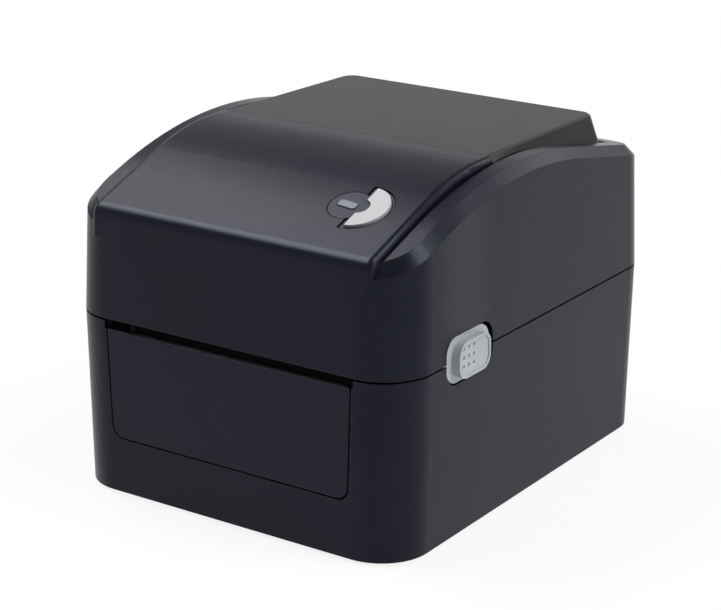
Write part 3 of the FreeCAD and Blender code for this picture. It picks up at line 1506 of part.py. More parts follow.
def lens_sketch(body, name, grow, offset):
    sketch = body_sketch(body, name, "XY", offset)
    sketch.AttachmentOffset = Placement(Vector(), Rotation(Vector(0, 0, 1), 1))
    bind(sketch, "AttachmentOffset.Rotation.Angle", d.lens_turn)
    bind(sketch, "AttachmentOffset.Base.x", lens_x)
    bind(sketch, "AttachmentOffset.Base.y", d.disc_s)
    half_length, half_wide = d.lens_length / 2 + grow, d.lens_width / 2 + grow
    draw(sketch, rounded((-half_length, half_length), (-half_wide, half_wide), d.lens_corner + grow))
    return sketch


disc_centre = (disc_x, d.disc_s)
recess_depth = d.hood_wall + d.wall
recess_form = on_slope(new_body("recess_form"))
pad(recess_form, "recess_ring_pad", "XY", recess_outline(zero), -recess_depth, 2 * recess_depth)
recess_sizes = (d.disc_radius, -recess_depth, 2 * recess_depth)
pad_circle(recess_form, "recess_disc_pad", "XY", disc_centre, *recess_sizes)
bezel_foot = -(d.bezel_sink + d.bezel_wall)
button_bezel = on_slope(new_body("button_bezel"))
pad(button_bezel, "bezel_plate", "XY", recess_outline(-d.bezel_gap), bezel_foot, d.bezel_wall)
bezel_radius = d.disc_radius - d.bezel_gap
bezel_rise = -bezel_foot - d.bezel_disc_sink
pad_circle(button_bezel, "bezel_disc", "XY", disc_centre, bezel_radius, bezel_foot, bezel_rise)
pocket(button_bezel, "bezel_crescent", "XY", crescent_outline(d.button_gap), zero, -bezel_foot)
bezel_lens = lens_sketch(button_bezel, "bezel_lens_sketch", d.lens_play, zero)
pocket_sketch(button_bezel, "bezel_lens", bezel_lens, -bezel_foot)
lens_foot = bezel_foot - d.lens_gap
indicator_lens = on_slope(new_body("indicator_lens"))
lens_flange = lens_sketch(indicator_lens, "lens_flange_sketch", d.lens_flange, lens_foot - d.lens_flange)
pad_sketch(indicator_lens, "lens_flange_pad", lens_flange, d.lens_flange)
lens_face = lens_sketch(indicator_lens, "lens_sketch", zero, lens_foot)
pad_sketch(indicator_lens, "lens_pad", lens_face, d.lens_stand - lens_foot)
crescent_foot = d.crescent_stand - d.crescent_wall
flange_foot = crescent_foot - d.crescent_flange_wall
stem_foot = flange_foot - d.button_stem_length
stem_u = crescent_x + (d.crescent_outer + d.crescent_inner) / 2
feed_button = on_slope(new_body("feed_button"))
stem_centre = (stem_u, d.crescent_s)
pad(feed_button, "crescent_pad", "XY", crescent_outline(zero), crescent_foot, d.crescent_wall)
flange_outline = crescent_outline(d.crescent_flange)
pad(feed_button, "crescent_flange_pad", "XY", flange_outline, flange_foot, d.crescent_flange_wall)
stem_sizes = (d.button_stem, stem_foot, d.button_stem_length)
pad_circle(feed_button, "button_stem_pad", "XY", stem_centre, *stem_sizes)
plunger_top = stem_foot - d.button_travel - d.key_plunger_gap
key_top = plunger_top - d.key_plunger
key_board_top = key_top - d.key_switch_height
key_board_foot = key_board_top - d.board_wall


def square(centre, side):
    return rectangle(*[(place - side / 2, place + side / 2) for place in centre])


key_switch = on_slope(new_body("key_switch"))
pad(key_switch, "key_block", "XY", square(stem_centre, d.key_switch), key_board_top, d.key_switch_height)
pad_circle(key_switch, "key_plunger_pad", "XY", stem_centre, d.button_stem, key_top, d.key_plunger)
status_led = on_slope(new_body("status_led"))
led_outline = square((lens_x, d.disc_s), d.led_side)
pad(status_led, "led_block", "XY", led_outline, key_board_top, d.led_height)
button_board = on_slope(new_body("button_board"))
key_board_x = (crescent_x - d.key_board_left, crescent_x + d.key_board_right)
key_board_s = (d.crescent_s - d.key_board_front, d.crescent_s + d.key_board_rear)
key_board = rectangle(key_board_x, key_board_s)
pad(button_board, "key_board_pad", "XY", key_board, key_board_foot, d.board_wall)
key_posts = [
    (key_board_x[0] + d.key_post_inset, key_board_s[0] + d.key_post_inset),
    (key_board_x[0] + d.key_post_inset, key_board_s[1] - d.key_post_inset),
    (key_board_x[1] - d.key_post_inset, key_board_s[1] - d.key_post_inset),
]

# Cover as one moulding: forms joined, hollowed, then bosses and hinge lugs added
cover_cuts = [cover_hollow, hood_hollow, window_open, recess_form] + latch_cuts
ear_notch_top = hinge_z + d.hinge_knuckle + d.hinge_gap
ear_notch_y = (hinge_y - d.hinge_knuckle - d.hinge_gap, half_depth + d.wall)
for side, tag in SIDES:
    ear_notch_x = both_ways(side, ear_in, ear_out)
    cover_cuts.append(box(f"ear_notch_{tag}", ear_notch_x, ear_notch_y, (cover_foot, ear_notch_top)))
cover_shell = cut("cover_shell", fuse("cover_solid", [grooved, hood_form]), cover_cuts)
cover_adds = [cover_shell]
cover_bores = []
boss_pilot = d.screw_radius + d.seat_gap
liner_boss_y = half_depth - d.liner_boss_inset_y
liner_boss_x = liner_half - d.liner_boss_inset_x
liner_boss_ends = (
    ("front", -liner_boss_y, on_shoulder(liner_boss_y)),
    ("rear", liner_boss_y, behind_shoulder(liner_boss_y)),
)
liner_bosses = []
for side, tag in SIDES:
    for place, boss_y, top in liner_boss_ends:
        centre = (side * liner_boss_x, boss_y)
        boss_z = (liner_top, top - d.shoulder_wall + d.liner_boss_root)
        pilot_z = (liner_top, liner_foot + d.screw_length)
        cover_adds.append(cylinder(f"liner_boss_{place}_{tag}", "Z", centre, d.liner_boss, boss_z))
        cover_bores.append(cylinder(f"liner_pilot_{place}_{tag}", "Z", centre, boss_pilot, pilot_z))
        liner_bosses.append(centre)
    lug_x = both_ways(side, ear_out, ear_out + d.hinge_lug)
    lug_y = (hinge_y - d.hinge_knuckle, hinge_y + d.hinge_knuckle)
    cover_adds.append(cylinder(f"lug_{tag}", "X", (hinge_y, hinge_z), d.hinge_knuckle, lug_x))
    cover_adds.append(box(f"lug_root_{tag}", lug_x, lug_y, (hinge_z, hinge_z + d.hinge_root)))
    lug_bore = d.hinge_pin + d.seat_gap
    cover_bores.append(cylinder(f"lug_bore_{tag}", "X", (hinge_y, hinge_z), lug_bore, lug_x))
for number, (u, s) in enumerate(key_posts, start=1):
    post = slope_cylinder(f"key_post_{number}", u, s, d.key_post, key_board_top, -d.hood_wall / 2)
    cover_adds.append(post)
top_cover = cut("top_cover", fuse("cover_with_bosses", cover_adds), cover_bores)
hinge_pins = group("hinge_pins", [
    cylinder(f"hinge_pin_{tag}", "X", (hinge_y, hinge_z), d.hinge_pin,
             both_ways(side, hinge_in, ear_out + d.hinge_lug))
    for side, tag in SIDES
])


# Smoked window: hollow cap from the hood joint to the rear, seated on the groove floor
def window_wire(front_half, rear_half, front, rear, front_z, rear_z):
    corner = d.window_corner.value
    rise = (rear_z - front_z).value / (rear - front).value
    taper = (rear_half - front_half).value / (rear - front).value
    bulge = corner * (1 - math.sqrt(0.5))
    length = (rear - front).value

    def at(way, back, inward):
        run = length - back
        across = front_half.value + taper * run - inward
        return Vector(way * across, front.value + run, front_z.value + rise * run)

    def corner_arc(way):
        points = [at(way, corner, 0), at(way, bulge, bulge), at(way, 0, corner)]
        return Part.Arc(*(points if way > 0 else points[::-1])).toShape()

    edges = [
        Part.makeLine(at(-1, length, 0), at(1, length, 0)),
        Part.makeLine(at(1, length, 0), at(1, corner, 0)),
        corner_arc(1),
        Part.makeLine(at(1, 0, corner), at(-1, 0, corner)),
        corner_arc(-1),
        Part.makeLine(at(-1, corner, 0), at(-1, length, 0)),
    ]
    return Part.Wire(edges)


window_front = d.hood_joint_y + d.window_gap
foot_half = hood_half - d.window_gap
foot_front_z = on_shoulder(window_front) - d.groove_depth
foot_rear_z = behind_shoulder(window_foot_rear) - d.groove_depth
crown_front_half = hood_half - d.hood_band
crown_rear_half = crown_front_half - d.window_taper
crown_rear_z = d.hood_top - d.window_fall
bevel = d.window_bevel
thick = d.window_wall
window_foot = window_wire(foot_half, foot_half, window_front, window_foot_rear, foot_front_z, foot_rear_z)
window_shoulder = window_wire(
    crown_front_half, crown_rear_half, window_front, window_rear, d.hood_top - bevel, crown_rear_z - bevel,
)
window_crown = window_wire(
    crown_front_half - bevel, crown_rear_half - bevel, window_front, window_rear - bevel,
    d.hood_top, crown_rear_z,
)
window_faces = [window_foot, window_shoulder, window_crown]
window_blank = formed("window_blank", Part.makeLoft(window_faces, True, True))
core_foot = window_wire(
    foot_half - thick, foot_half - thick, window_front + thick, window_foot_rear - thick,
    foot_front_z - thick, foot_rear_z - thick,
)
core_crown = window_wire(
    crown_front_half - thick, crown_rear_half - thick, window_front + thick, window_rear - thick,
    d.hood_top - thick, crown_rear_z - thick,
)
window_core = formed("window_core", Part.makeLoft([core_foot, core_crown], True, True))
seat_line = shoulder_outline(d.groove_depth - d.window_gap, above_hood, groove_rear)
window_seat = prism("window_seat", "YZ", seat_line, -groove_half, 2 * groove_half)
cover_window = cut("cover_window", common("window_cap", [window_blank, window_seat]), [window_core])

# Cover liner with its head opening, pivot ears, spring bridge and latch guides
head_foot = platen_top + d.head_gap
sink_foot = head_foot + d.head_wall
sink_top = sink_foot + d.sink_height
bracket_top = sink_top + d.bracket_wall
pivot_y = platen_y + d.pivot_setback
pivot_z = bracket_top + d.pivot_rise
bridge_foot = bracket_top + d.head_spring_height
bridge_top = bridge_foot + d.liner_wall
bracket_half = tray_in - d.bracket_inset
ear_low = bracket_half + d.ear_gap
ear_high = ear_low + d.ear_wall
tab_y = (pivot_y - d.bracket_tab / 2, pivot_y + d.bracket_tab / 2)
bridge_y = (platen_y - d.bridge_width / 2, platen_y + d.bridge_width / 2)
liner_y = (d.liner_front - half_depth, half_depth - d.liner_rear)
liner_plan = rounded((-liner_half, liner_half), liner_y, d.liner_corner)
liner_plate = prism("liner_plate", "XY", liner_plan, liner_foot, d.liner_wall)
head_open_half = bracket_half + d.ear_gap / 2
liner_z = (liner_foot, liner_top)
liner_bay_half = tray_in + d.liner_bay_gap
liner_bay_y = (bay_front - d.liner_bay_margin, bay_rear + d.liner_bay_margin)
head_open_y = (liner_y[0], tab_y[1] + d.ear_gap)
liner_plate_cuts = [
    box("liner_bay", (-liner_bay_half, liner_bay_half), liner_bay_y, liner_z),
    box("liner_head_open", (-head_open_half, head_open_half), head_open_y, liner_z),
]
liner_adds = [cut("liner_frame", liner_plate, liner_plate_cuts)]
liner_cuts = []
for side, tag in SIDES:
    ear_x = both_ways(side, ear_low, ear_high)
    liner_adds.append(box(f"pivot_ear_{tag}", ear_x, tab_y, (liner_foot, pivot_z + d.bracket_tab / 2)))
    liner_adds.append(box(f"bridge_post_{tag}", ear_x, bridge_y, (liner_foot, bridge_top)))
    pivot_bore = d.pivot_pin + d.running_gap
    liner_cuts.append(cylinder(f"pivot_bore_{tag}", "X", (pivot_y, pivot_z), pivot_bore, ear_x))
    block_x = both_ways(side, block_in, block_out)
    block_y = (latch_y - d.latch_block_half, latch_y + d.latch_block_half)
    block_z = (liner_foot - d.latch_block_drop, liner_top)
    liner_adds.append(box(f"latch_block_{tag}", block_x, block_y, block_z))
    stem_bore = d.stem_radius + d.stem_play
    liner_cuts.append(cylinder(f"stem_bore_{tag}", "X", (latch_y, latch_z), stem_bore, block_x))
liner_adds.append(box("spring_bridge", (-ear_high, ear_high), bridge_y, (bridge_foot, bridge_top)))
for number, centre in enumerate(liner_bosses, start=1):
    liner_cuts.append(cylinder(f"liner_pass_{number}", "Z", centre, screw_pass, liner_z))
cover_liner = cut("cover_liner", fuse("liner_blank", liner_adds), liner_cuts)
liner_screws = group("liner_screws", [
    screw(f"liner_screw_{number}", "Z", centre, d.screw_radius, liner_foot, d.screw_length, 1)
    for number, centre in enumerate(liner_bosses, start=1)
])

# Print head: ceramic, chip cover, heat sink, bracket and pivot pins
head_half = roller_half - d.head_inset
head_x = (-head_half, head_half)
head_rear = platen_y + d.head_rear
sink_rear = platen_y + d.sink_rear
thermal_head = box("thermal_head", head_x, (platen_y - d.head_front, head_rear), (head_foot, sink_foot))
chip_cover_half = head_half - d.chip_cover_inset
chip_cover_x = (-chip_cover_half, chip_cover_half)
chip_cover_y = (head_rear + d.socket_gap, sink_rear)
chip_cover = box("chip_cover", chip_cover_x, chip_cover_y, (head_foot - d.chip_cover_drop, sink_foot))
sink_y = (platen_y - d.sink_front, sink_rear)
sink_cuts = []
fin_pitch = 2 * head_half / d.sink_fin_count
for number in range(int(d.sink_fin_count.value)):
    middle = fin_pitch * (number + 0.5) - head_half
    fin_x = (middle - d.sink_fin / 2, middle + d.sink_fin / 2)
    fin_y = (sink_y[1] - d.sink_fin_depth, sink_y[1])
    sink_cuts.append(box(f"fin_gap_{number}", fin_x, fin_y, (sink_foot, sink_top)))
heat_sink = cut("heat_sink", box("sink_block", head_x, sink_y, (sink_foot, sink_top)), sink_cuts)
bracket_x = (-bracket_half, bracket_half)
bracket_adds = [box("bracket_plate", bracket_x, (sink_y[0], tab_y[1]), (sink_top, bracket_top))]
bracket_cuts = []
for side, tag in SIDES:
    tab_x = both_ways(side, bracket_half - d.bracket_wall, bracket_half)
    bracket_adds.append(box(f"bracket_tab_{tag}", tab_x, tab_y, (sink_top, pivot_z + d.bracket_tab / 2)))
    tab_bore = d.pivot_pin + d.seat_gap
    bracket_cuts.append(cylinder(f"tab_bore_{tag}", "X", (pivot_y, pivot_z), tab_bore, tab_x))
head_bracket = cut("head_bracket", fuse("bracket_blank", bracket_adds), bracket_cuts)
head_pins = group("head_pins", [
    cylinder(f"head_pin_{tag}", "X", (pivot_y, pivot_z), d.pivot_pin,
             both_ways(side, bracket_half - d.bracket_wall, ear_high))
    for side, tag in SIDES
])
head_wire = d.head_spring_wire.value
head_pitch = (d.head_spring_height.value - 2 * head_wire) / d.head_spring_turns.value
head_coil = coil_solid(
    "head_spring", d.head_spring_radius.value, head_wire, head_pitch, d.head_spring_turns.value,
)
head_spring_x = (head_half - d.head_spring_inset).value
head_spring_foot = bracket_top.value + head_wire
head_springs = {}
for side, tag in SIDES:
    spring_place = (side * head_spring_x, platen_y.value, head_spring_foot)
    head_springs[tag] = formed(f"head_spring_{tag}", head_coil.copy(), spring_place)


# Tear bar along the cover's front edge, its teeth downwards
def tear_points():
    half = (exit_half - d.tear_inset).value
    tip, valley, top = [(cover_foot + rise).value for rise in (zero, d.tear_tooth, d.tear_height)]
    count = int(2 * half / d.tear_pitch.value)
    pitch = 2 * half / count
    points = [Vector(half, 0, top), Vector(-half, 0, top)]
    for tooth in range(count):
        points.append(Vector(-half + pitch * tooth, 0, valley))
        points.append(Vector(-half + pitch * (tooth + 0.5), 0, tip))
    points.append(Vector(half, 0, valley))
    return points


tear_outline = tear_points()
tear_y = d.wall - half_depth + d.tear_height * tangent(d.cover_lean) + d.tear_gap
tear_face = Part.Face(Part.makePolygon(tear_outline + tear_outline[:1]))
tear_blade = tear_face.extrude(Vector(0, d.tear_wall.value, 0))
tear_bar = formed("tear_bar", tear_blade, (0, tear_y.value, 0))

# Side latch: flange in the case cut-out, dished pad with grip dimples, spur in the seam, hook and guide stem
latch_right = new_body("latch_right")


def latch_frame(half, half_height, corner):
    return rounded((latch_y - half, latch_y + half), (latch_z - half_height, latch_z + half_height), corner)


flange_frame = latch_frame(d.latch_half, d.latch_half_height, d.latch_corner)
pad(latch_right, "latch_flange_pad", "YZ", flange_frame, latch_flange_in, d.latch_flange)
thumb_frame = latch_frame(d.latch_pad_half, d.latch_pad_half_height, d.latch_pad_corner)
pad(latch_right, "latch_thumb_pad", "YZ", thumb_frame, latch_flange_out, d.latch_pad_stand)
thumb_out = latch_flange_out + d.latch_pad_stand
dish_sizes = (d.latch_pad_half, d.latch_pad_half_height, d.latch_pad_corner)
dish_frame = latch_frame(*[size - d.latch_rim for size in dish_sizes])
pocket(latch_right, "latch_dish_pocket", "YZ", dish_frame, thumb_out, d.latch_dish)
dimples = body_sketch(latch_right, "dimple_sketch", "YZ", thumb_out - d.latch_dish)
first_dimple = (d.dimple_count - 1) / 2
for row in range(int(d.dimple_count.value)):
    for column in range(int(d.dimple_count.value)):
        dimple_y = latch_y - d.dimple_shift + (column - first_dimple) * d.dimple_pitch
        dimple_z = latch_z + d.dimple_lift + (row - first_dimple) * d.dimple_pitch
        draw_circle(dimples, dimple_y, dimple_z, d.dimple_radius)
pocket_sketch(latch_right, "dimple_pocket", dimples, d.dimple_depth)
spur_root = latch_y - d.latch_half + d.latch_flange
spur_tip = (latch_flange_out, latch_y - d.latch_half - d.spur_length)
spur_outline = [(latch_flange_in, spur_root), spur_tip, (latch_flange_out, spur_root)]
pad(latch_right, "latch_spur_pad", "XY", spur_outline, d.seam_z - d.spur_wall / 2, d.spur_wall)
arm_y = (latch_y - d.latch_arm_half, latch_y + d.latch_arm_half)
arm_z = (latch_z - d.latch_arm_half_height, latch_z + d.latch_arm_half_height)
nose_top = catch_top - d.catch_wall - d.catch_gap
nose_foot = nose_top - d.latch_nose_height
pad(latch_right, "latch_arm_pad", "YZ", rectangle(arm_y, arm_z), latch_leg_in, d.latch_arm_reach)
pad(latch_right, "latch_leg_pad", "YZ", rectangle(arm_y, (nose_foot, arm_z[1])), latch_leg_in, d.latch_leg)
nose_outline = rectangle(arm_y, (nose_foot, nose_top))
pad(latch_right, "latch_nose_pad", "YZ", nose_outline, latch_leg_in, d.latch_leg + d.latch_nose)
stem_in = block_in + d.stem_play
latch_stem = (d.stem_radius, stem_in, latch_leg_in - stem_in)
pad_circle(latch_right, "latch_stem_pad", "YZ", (latch_y, latch_z), *latch_stem)
latch_left = mirrored("latch_left", latch_right)
latch_wire = d.latch_spring_wire.value
latch_pitch = (d.latch_spring_length.value - 2 * latch_wire) / d.latch_spring_turns.value
latch_coil = coil_solid(
    "latch_spring", d.latch_spring_radius.value, latch_wire, latch_pitch, d.latch_spring_turns.value,
)
latch_springs = {}
for side, tag in SIDES:
    coil_place = (side * (block_out.value + latch_wire), latch_y.value, latch_z.value)
    outward = Rotation(Vector(0, 1, 0), side * 90)
    latch_springs[tag] = formed(f"latch_spring_{tag}", latch_coil.copy(), coil_place, outward)

# Named sub-parts, checked and written one file each
parts = {
    "lower_case": lower_case,
    "front_panel": front_panel,
    "bottom_plate": bottom_plate,
    "rubber_feet": rubber_feet,
    "case_screws": case_screws,
    "media_tray": media_tray,
    "print_frame": print_frame,
    "gap_sensor": gap_sensor,
    "platen_bushes": platen_bushes,
    "platen_shaft": platen_shaft,
    "platen_roller": platen_roller,
    "platen_gear": platen_gear,
    "idler_gear": idler_gear,
    "idler_post": idler_post,
    "drive_motor": drive_motor,
    "motor_screws": motor_screws,
    "motor_shaft": motor_shaft,
    "motor_pinion": motor_pinion,
    "roll_guide": roll_guide,
    "holder_pinion": holder_pinion,
    "holder_left": holder_parts["left"],
    "holder_right": holder_parts["right"],
    "roll_hub_left": holder_parts["hub_left"],
    "roll_hub_right": holder_parts["hub_right"],
    "main_board": main_board,
    "board_parts": board_parts,
    "board_screws": board_screws,
    "power_inlet": power_inlet,
    "data_socket": data_socket,
    "switch_housing": switch_housing,
    "power_rocker": power_rocker,
    "top_cover": top_cover,
    "cover_window": cover_window,
    "cover_liner": cover_liner,
    "liner_screws": liner_screws,
    "hinge_pins": hinge_pins,
    "tear_bar": tear_bar,
    "button_bezel": button_bezel,
    "indicator_lens": indicator_lens,
    "feed_button": feed_button,
    "key_switch": key_switch,
    "status_led": status_led,
    "button_board": button_board,
    "thermal_head": thermal_head,
    "chip_cover": chip_cover,
    "heat_sink": heat_sink,
    "head_bracket": head_bracket,
    "head_pins": head_pins,
    "head_spring_left": head_springs["left"],
    "head_spring_right": head_springs["right"],
    "latch_left": latch_left,
    "latch_right": latch_right,
    "latch_spring_left": latch_springs["left"],
    "latch_spring_right": latch_springs["right"],
}
doc.recompute()
broken = [obj.Label for obj in doc.Objects if "Invalid" in obj.State or "Error" in obj.State]
if broken:
    raise RuntimeError(f"features that failed: {broken}")
os.makedirs("parts", exist_ok=True)
for node, obj in parts.items():
    obj.Label = node
    if obj.Shape.isNull() or not obj.Shape.isValid():
        raise RuntimeError(f"{node} has no valid shape")
    obj.Shape.exportStep(f"parts/{node}.step")
print(f"{len(parts)} parts written")
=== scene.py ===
import math

import bpy
from mathutils import Matrix, Vector


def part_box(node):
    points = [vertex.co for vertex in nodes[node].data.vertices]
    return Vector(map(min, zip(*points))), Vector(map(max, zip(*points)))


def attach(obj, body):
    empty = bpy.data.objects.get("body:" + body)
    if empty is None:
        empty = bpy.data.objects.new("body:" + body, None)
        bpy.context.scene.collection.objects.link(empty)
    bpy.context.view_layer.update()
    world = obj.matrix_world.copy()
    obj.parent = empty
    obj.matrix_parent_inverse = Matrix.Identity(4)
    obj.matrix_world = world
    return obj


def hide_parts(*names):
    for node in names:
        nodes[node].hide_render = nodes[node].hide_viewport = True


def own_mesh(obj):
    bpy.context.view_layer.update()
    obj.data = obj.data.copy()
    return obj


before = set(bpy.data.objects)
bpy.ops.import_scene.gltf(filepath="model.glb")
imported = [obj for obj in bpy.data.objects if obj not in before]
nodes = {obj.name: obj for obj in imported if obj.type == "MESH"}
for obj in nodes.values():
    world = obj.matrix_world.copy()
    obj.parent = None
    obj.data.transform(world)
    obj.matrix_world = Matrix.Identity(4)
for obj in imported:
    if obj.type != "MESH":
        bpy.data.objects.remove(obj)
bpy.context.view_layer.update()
scene = bpy.context.scene
MM = 0.001


# Materials: each one is built from object coordinates, so grain keeps its real size
class Finish:
    def __init__(self, name):
        self.material = bpy.data.materials.new(name)
        self.material.use_nodes = True
        self.tree = self.material.node_tree
        self.shader = self.tree.nodes["Principled BSDF"]
        self.place = self.add("ShaderNodeTexCoord").outputs["Object"]

    def add(self, kind, **settings):
        node = self.tree.nodes.new(kind)
        for key, value in settings.items():
            setattr(node, key, value)
        return node

    def link(self, source, target):
        self.tree.links.new(source, target)

    def put(self, socket, value):
        if isinstance(value, bpy.types.NodeSocket):
            self.link(value, socket)
        else:
            socket.default_value = value

    # Noise with features of a given size in millimetres, stretched along the axes where asked
    def noise(self, size_mm, detail=2.0, stretch=(1.0, 1.0, 1.0)):
        mapping = self.add("ShaderNodeMapping")
        mapping.inputs["Scale"].default_value = [1.0 / s for s in stretch]
        self.link(self.place, mapping.inputs["Vector"])
        noise = self.add("ShaderNodeTexNoise")
        noise.inputs["Scale"].default_value = 1.0 / (size_mm * MM)
        noise.inputs["Detail"].default_value = detail
        self.link(mapping.outputs["Vector"], noise.inputs["Vector"])
        return noise.outputs["Fac"]

    # Distance to the nearest of scattered points, about size_mm apart
    def cells(self, size_mm):
        cells = self.add("ShaderNodeTexVoronoi", feature="F1")
        cells.inputs["Scale"].default_value = 1.0 / (size_mm * MM)
        self.link(self.place, cells.inputs["Vector"])
        return cells.outputs["Distance"]

    # Maps start to stop onto low to high, and holds the ends
    def span(self, source, low, high, start=0.3, stop=0.7):
        ranged = self.add("ShaderNodeMapRange")
        ranged.inputs["From Min"].default_value = start
        ranged.inputs["From Max"].default_value = stop
        ranged.inputs["To Min"].default_value = low
        ranged.inputs["To Max"].default_value = high
        self.link(source, ranged.inputs["Value"])
        return ranged.outputs["Result"]

    def math(self, operation, first, second=0.0):
        node = self.add("ShaderNodeMath", operation=operation)
        self.put(node.inputs[0], first)
        self.put(node.inputs[1], second)
        return node.outputs["Value"]

    def mix(self, share, first, second):
        node = self.add("ShaderNodeMix", data_type="RGBA")
        self.put(node.inputs["Factor"], share)
        self.put(node.inputs[6], first)
        self.put(node.inputs[7], second)
        return node.outputs[2]

    # One on sharp edges and zero on flat faces, with the rounded normal
    def edges(self, radius_mm, reach=0.12):
        bevel = self.add("ShaderNodeBevel", samples=4)
        bevel.inputs["Radius"].default_value = radius_mm * MM
        geometry = self.add("ShaderNodeNewGeometry")
        dot = self.add("ShaderNodeVectorMath", operation="DOT_PRODUCT")
        self.link(bevel.outputs["Normal"], dot.inputs[0])
        self.link(geometry.outputs["Normal"], dot.inputs[1])
        return self.span(dot.outputs["Value"], 1.0, 0.0, 1.0 - reach, 1.0), bevel.outputs["Normal"]

    def axis(self, name):
        split = self.add("ShaderNodeSeparateXYZ")
        self.link(self.place, split.inputs["Vector"])
        return split.outputs[name]

    # Height in metres of a slow swell along the object's Y, highest at its centre and flat at both ends
    def swell(self, centre_mm, half_mm, rise_mm):
        start = (centre_mm - half_mm) * MM
        stop = (centre_mm + half_mm) * MM
        turn = self.span(self.axis("Y"), -math.pi, math.pi, start, stop)
        lift = self.math("ADD", self.math("COSINE", turn), 1.0)
        return self.math("MULTIPLY", lift, rise_mm * MM / 2.0)

    def bump(self, height, depth_mm, normal=None):
        bump = self.add("ShaderNodeBump")
        bump.inputs["Strength"].default_value = 1.0
        bump.inputs["Distance"].default_value = depth_mm * MM
        self.link(height, bump.inputs["Height"])
        if normal is not None:
            self.link(normal, bump.inputs["Normal"])
        self.link(bump.outputs["Normal"], self.shader.inputs["Normal"])

    def set(self, **values):
        for key, value in values.items():
            self.put(self.shader.inputs[key.replace("_", " ")], value)


def rgba(colour):
    return (colour[0], colour[1], colour[2], 1.0)


def shade(colour, factor):
    return rgba([min(1.0, c * factor) for c in colour])


# Moulded plastic: spark-eroded grain, slow drift of colour and gloss, paler rubbed edges
DRIFT_MM = 45.0
FLOW_MM = 9.0
GLOSS_DRIFT = 0.012
EDGE_POLISH = 0.06
WHITE = (1.0, 1.0, 1.0)


def plastic(name, colour, rough, specular, grain_mm=0.55, grain_depth=0.02, edge_mm=0.5, rub=1.9,
            tint=WHITE, swell=None):
    made = Finish(name)
    drift = made.noise(DRIFT_MM, 3.0)
    flow = made.noise(FLOW_MM, 4.0)
    grain = made.noise(grain_mm, 1.0)
    edge, rounded = made.edges(edge_mm)
    body = made.mix(made.span(drift, 0.0, 1.0), shade(colour, 0.88), shade(colour, 1.12))
    speck = made.mix(made.span(grain, 0.0, 0.35, 0.45, 0.75), body, shade(colour, 1.35))
    worn = made.math("MULTIPLY", edge, made.span(flow, 0.15, 0.75))
    made.set(
        Base_Color=made.mix(worn, speck, shade(colour, rub)),
        Roughness=made.math("ADD", made.span(flow, rough - GLOSS_DRIFT, rough + GLOSS_DRIFT),
                            made.math("MULTIPLY", edge, -EDGE_POLISH)),
        Specular_IOR_Level=specular,
        Specular_Tint=rgba(tint),
    )
    relief = made.math("MULTIPLY", grain, grain_depth * MM)
    if swell is not None:
        relief = made.math("ADD", relief, made.swell(*swell))
    made.bump(relief, 1.0 / MM, rounded)
    return made.material


# Sheet and turned metal: fine brushed lines along one axis, small dull stains, bright edges
STAIN_MM = 14.0
LINE_DEPTH_MM = 0.008


def metal(name, colour, rough, along=(40.0, 1.0, 1.0), line_mm=0.25, edge_mm=0.25):
    made = Finish(name)
    lines = made.noise(line_mm, 2.0, along)
    stain = made.noise(STAIN_MM, 4.0)
    edge, rounded = made.edges(edge_mm)
    body = made.mix(made.span(stain, 0.0, 1.0), shade(colour, 0.86), shade(colour, 1.05))
    made.set(
        Base_Color=made.mix(made.math("MULTIPLY", edge, 0.5), body, shade(colour, 1.25)),
        Metallic=1.0,
        Roughness=made.math("ADD", made.span(lines, rough - 0.07, rough + 0.09),
                            made.span(stain, 0.0, 0.06)),
    )
    made.bump(lines, LINE_DEPTH_MM, rounded)
    return made.material


# Rubber: close matt skin with dust in its hollows
DUST_MM = 11.0
RUBBER_EDGE_MM = 0.4
RUBBER_SPECULAR = 0.25
RUBBER_GRAIN_DEPTH_MM = 0.03


def rubber(name, colour, rough, grain_mm):
    made = Finish(name)
    grain = made.noise(grain_mm, 4.0)
    dust = made.noise(DUST_MM, 5.0)
    edge, rounded = made.edges(RUBBER_EDGE_MM)
    body = made.mix(made.span(dust, 0.0, 0.5, 0.5, 0.75), rgba(colour), shade(colour, 2.2))
    made.set(
        Base_Color=made.mix(made.math("MULTIPLY", edge, 0.5), body, shade(colour, 1.8)),
        Roughness=made.span(grain, rough - 0.06, rough + 0.08),
        Specular_IOR_Level=RUBBER_SPECULAR,
    )
    made.bump(grain, RUBBER_GRAIN_DEPTH_MM, rounded)
    return made.material


# Clear or tinted moulding: transmission, faint ripple and hairline scuffs
RIPPLE_MM = 22.0
RIPPLE_DEPTH_MM = 0.02
SCUFF_MM = 3.0
CLEAR_EDGE_MM = 0.5


def clear(name, colour, rough, transmission, scuff=0.08, specular=0.5, ior=1.5):
    made = Finish(name)
    ripple = made.noise(RIPPLE_MM, 2.0)
    scuffs = made.noise(SCUFF_MM, 4.0)
    edge, rounded = made.edges(CLEAR_EDGE_MM)
    made.set(
        Base_Color=made.mix(made.span(ripple, 0.0, 1.0), shade(colour, 0.9), shade(colour, 1.1)),
        Roughness=made.math("ADD", made.span(scuffs, rough, rough + scuff, 0.55, 0.8),
                            made.math("MULTIPLY", edge, 0.05)),
        Transmission_Weight=transmission,
        Specular_IOR_Level=specular,
        IOR=ior,
    )
    made.bump(ripple, RIPPLE_DEPTH_MM, rounded)
    return made.material


# Circuit board: solder mask over copper runs, with scattered tinned vias
SOLDER_MASK = (0.012, 0.085, 0.035)
TINNED = (0.62, 0.6, 0.52)
BLACK = (0.0, 0.0, 0.0)
RUN_SCALE = 260.0
RUN_WIDTH = 0.045
VIA_SPACING_MM = 3.2
WEAVE_MM = 0.35
BOARD_DEPTH_MM = 0.02


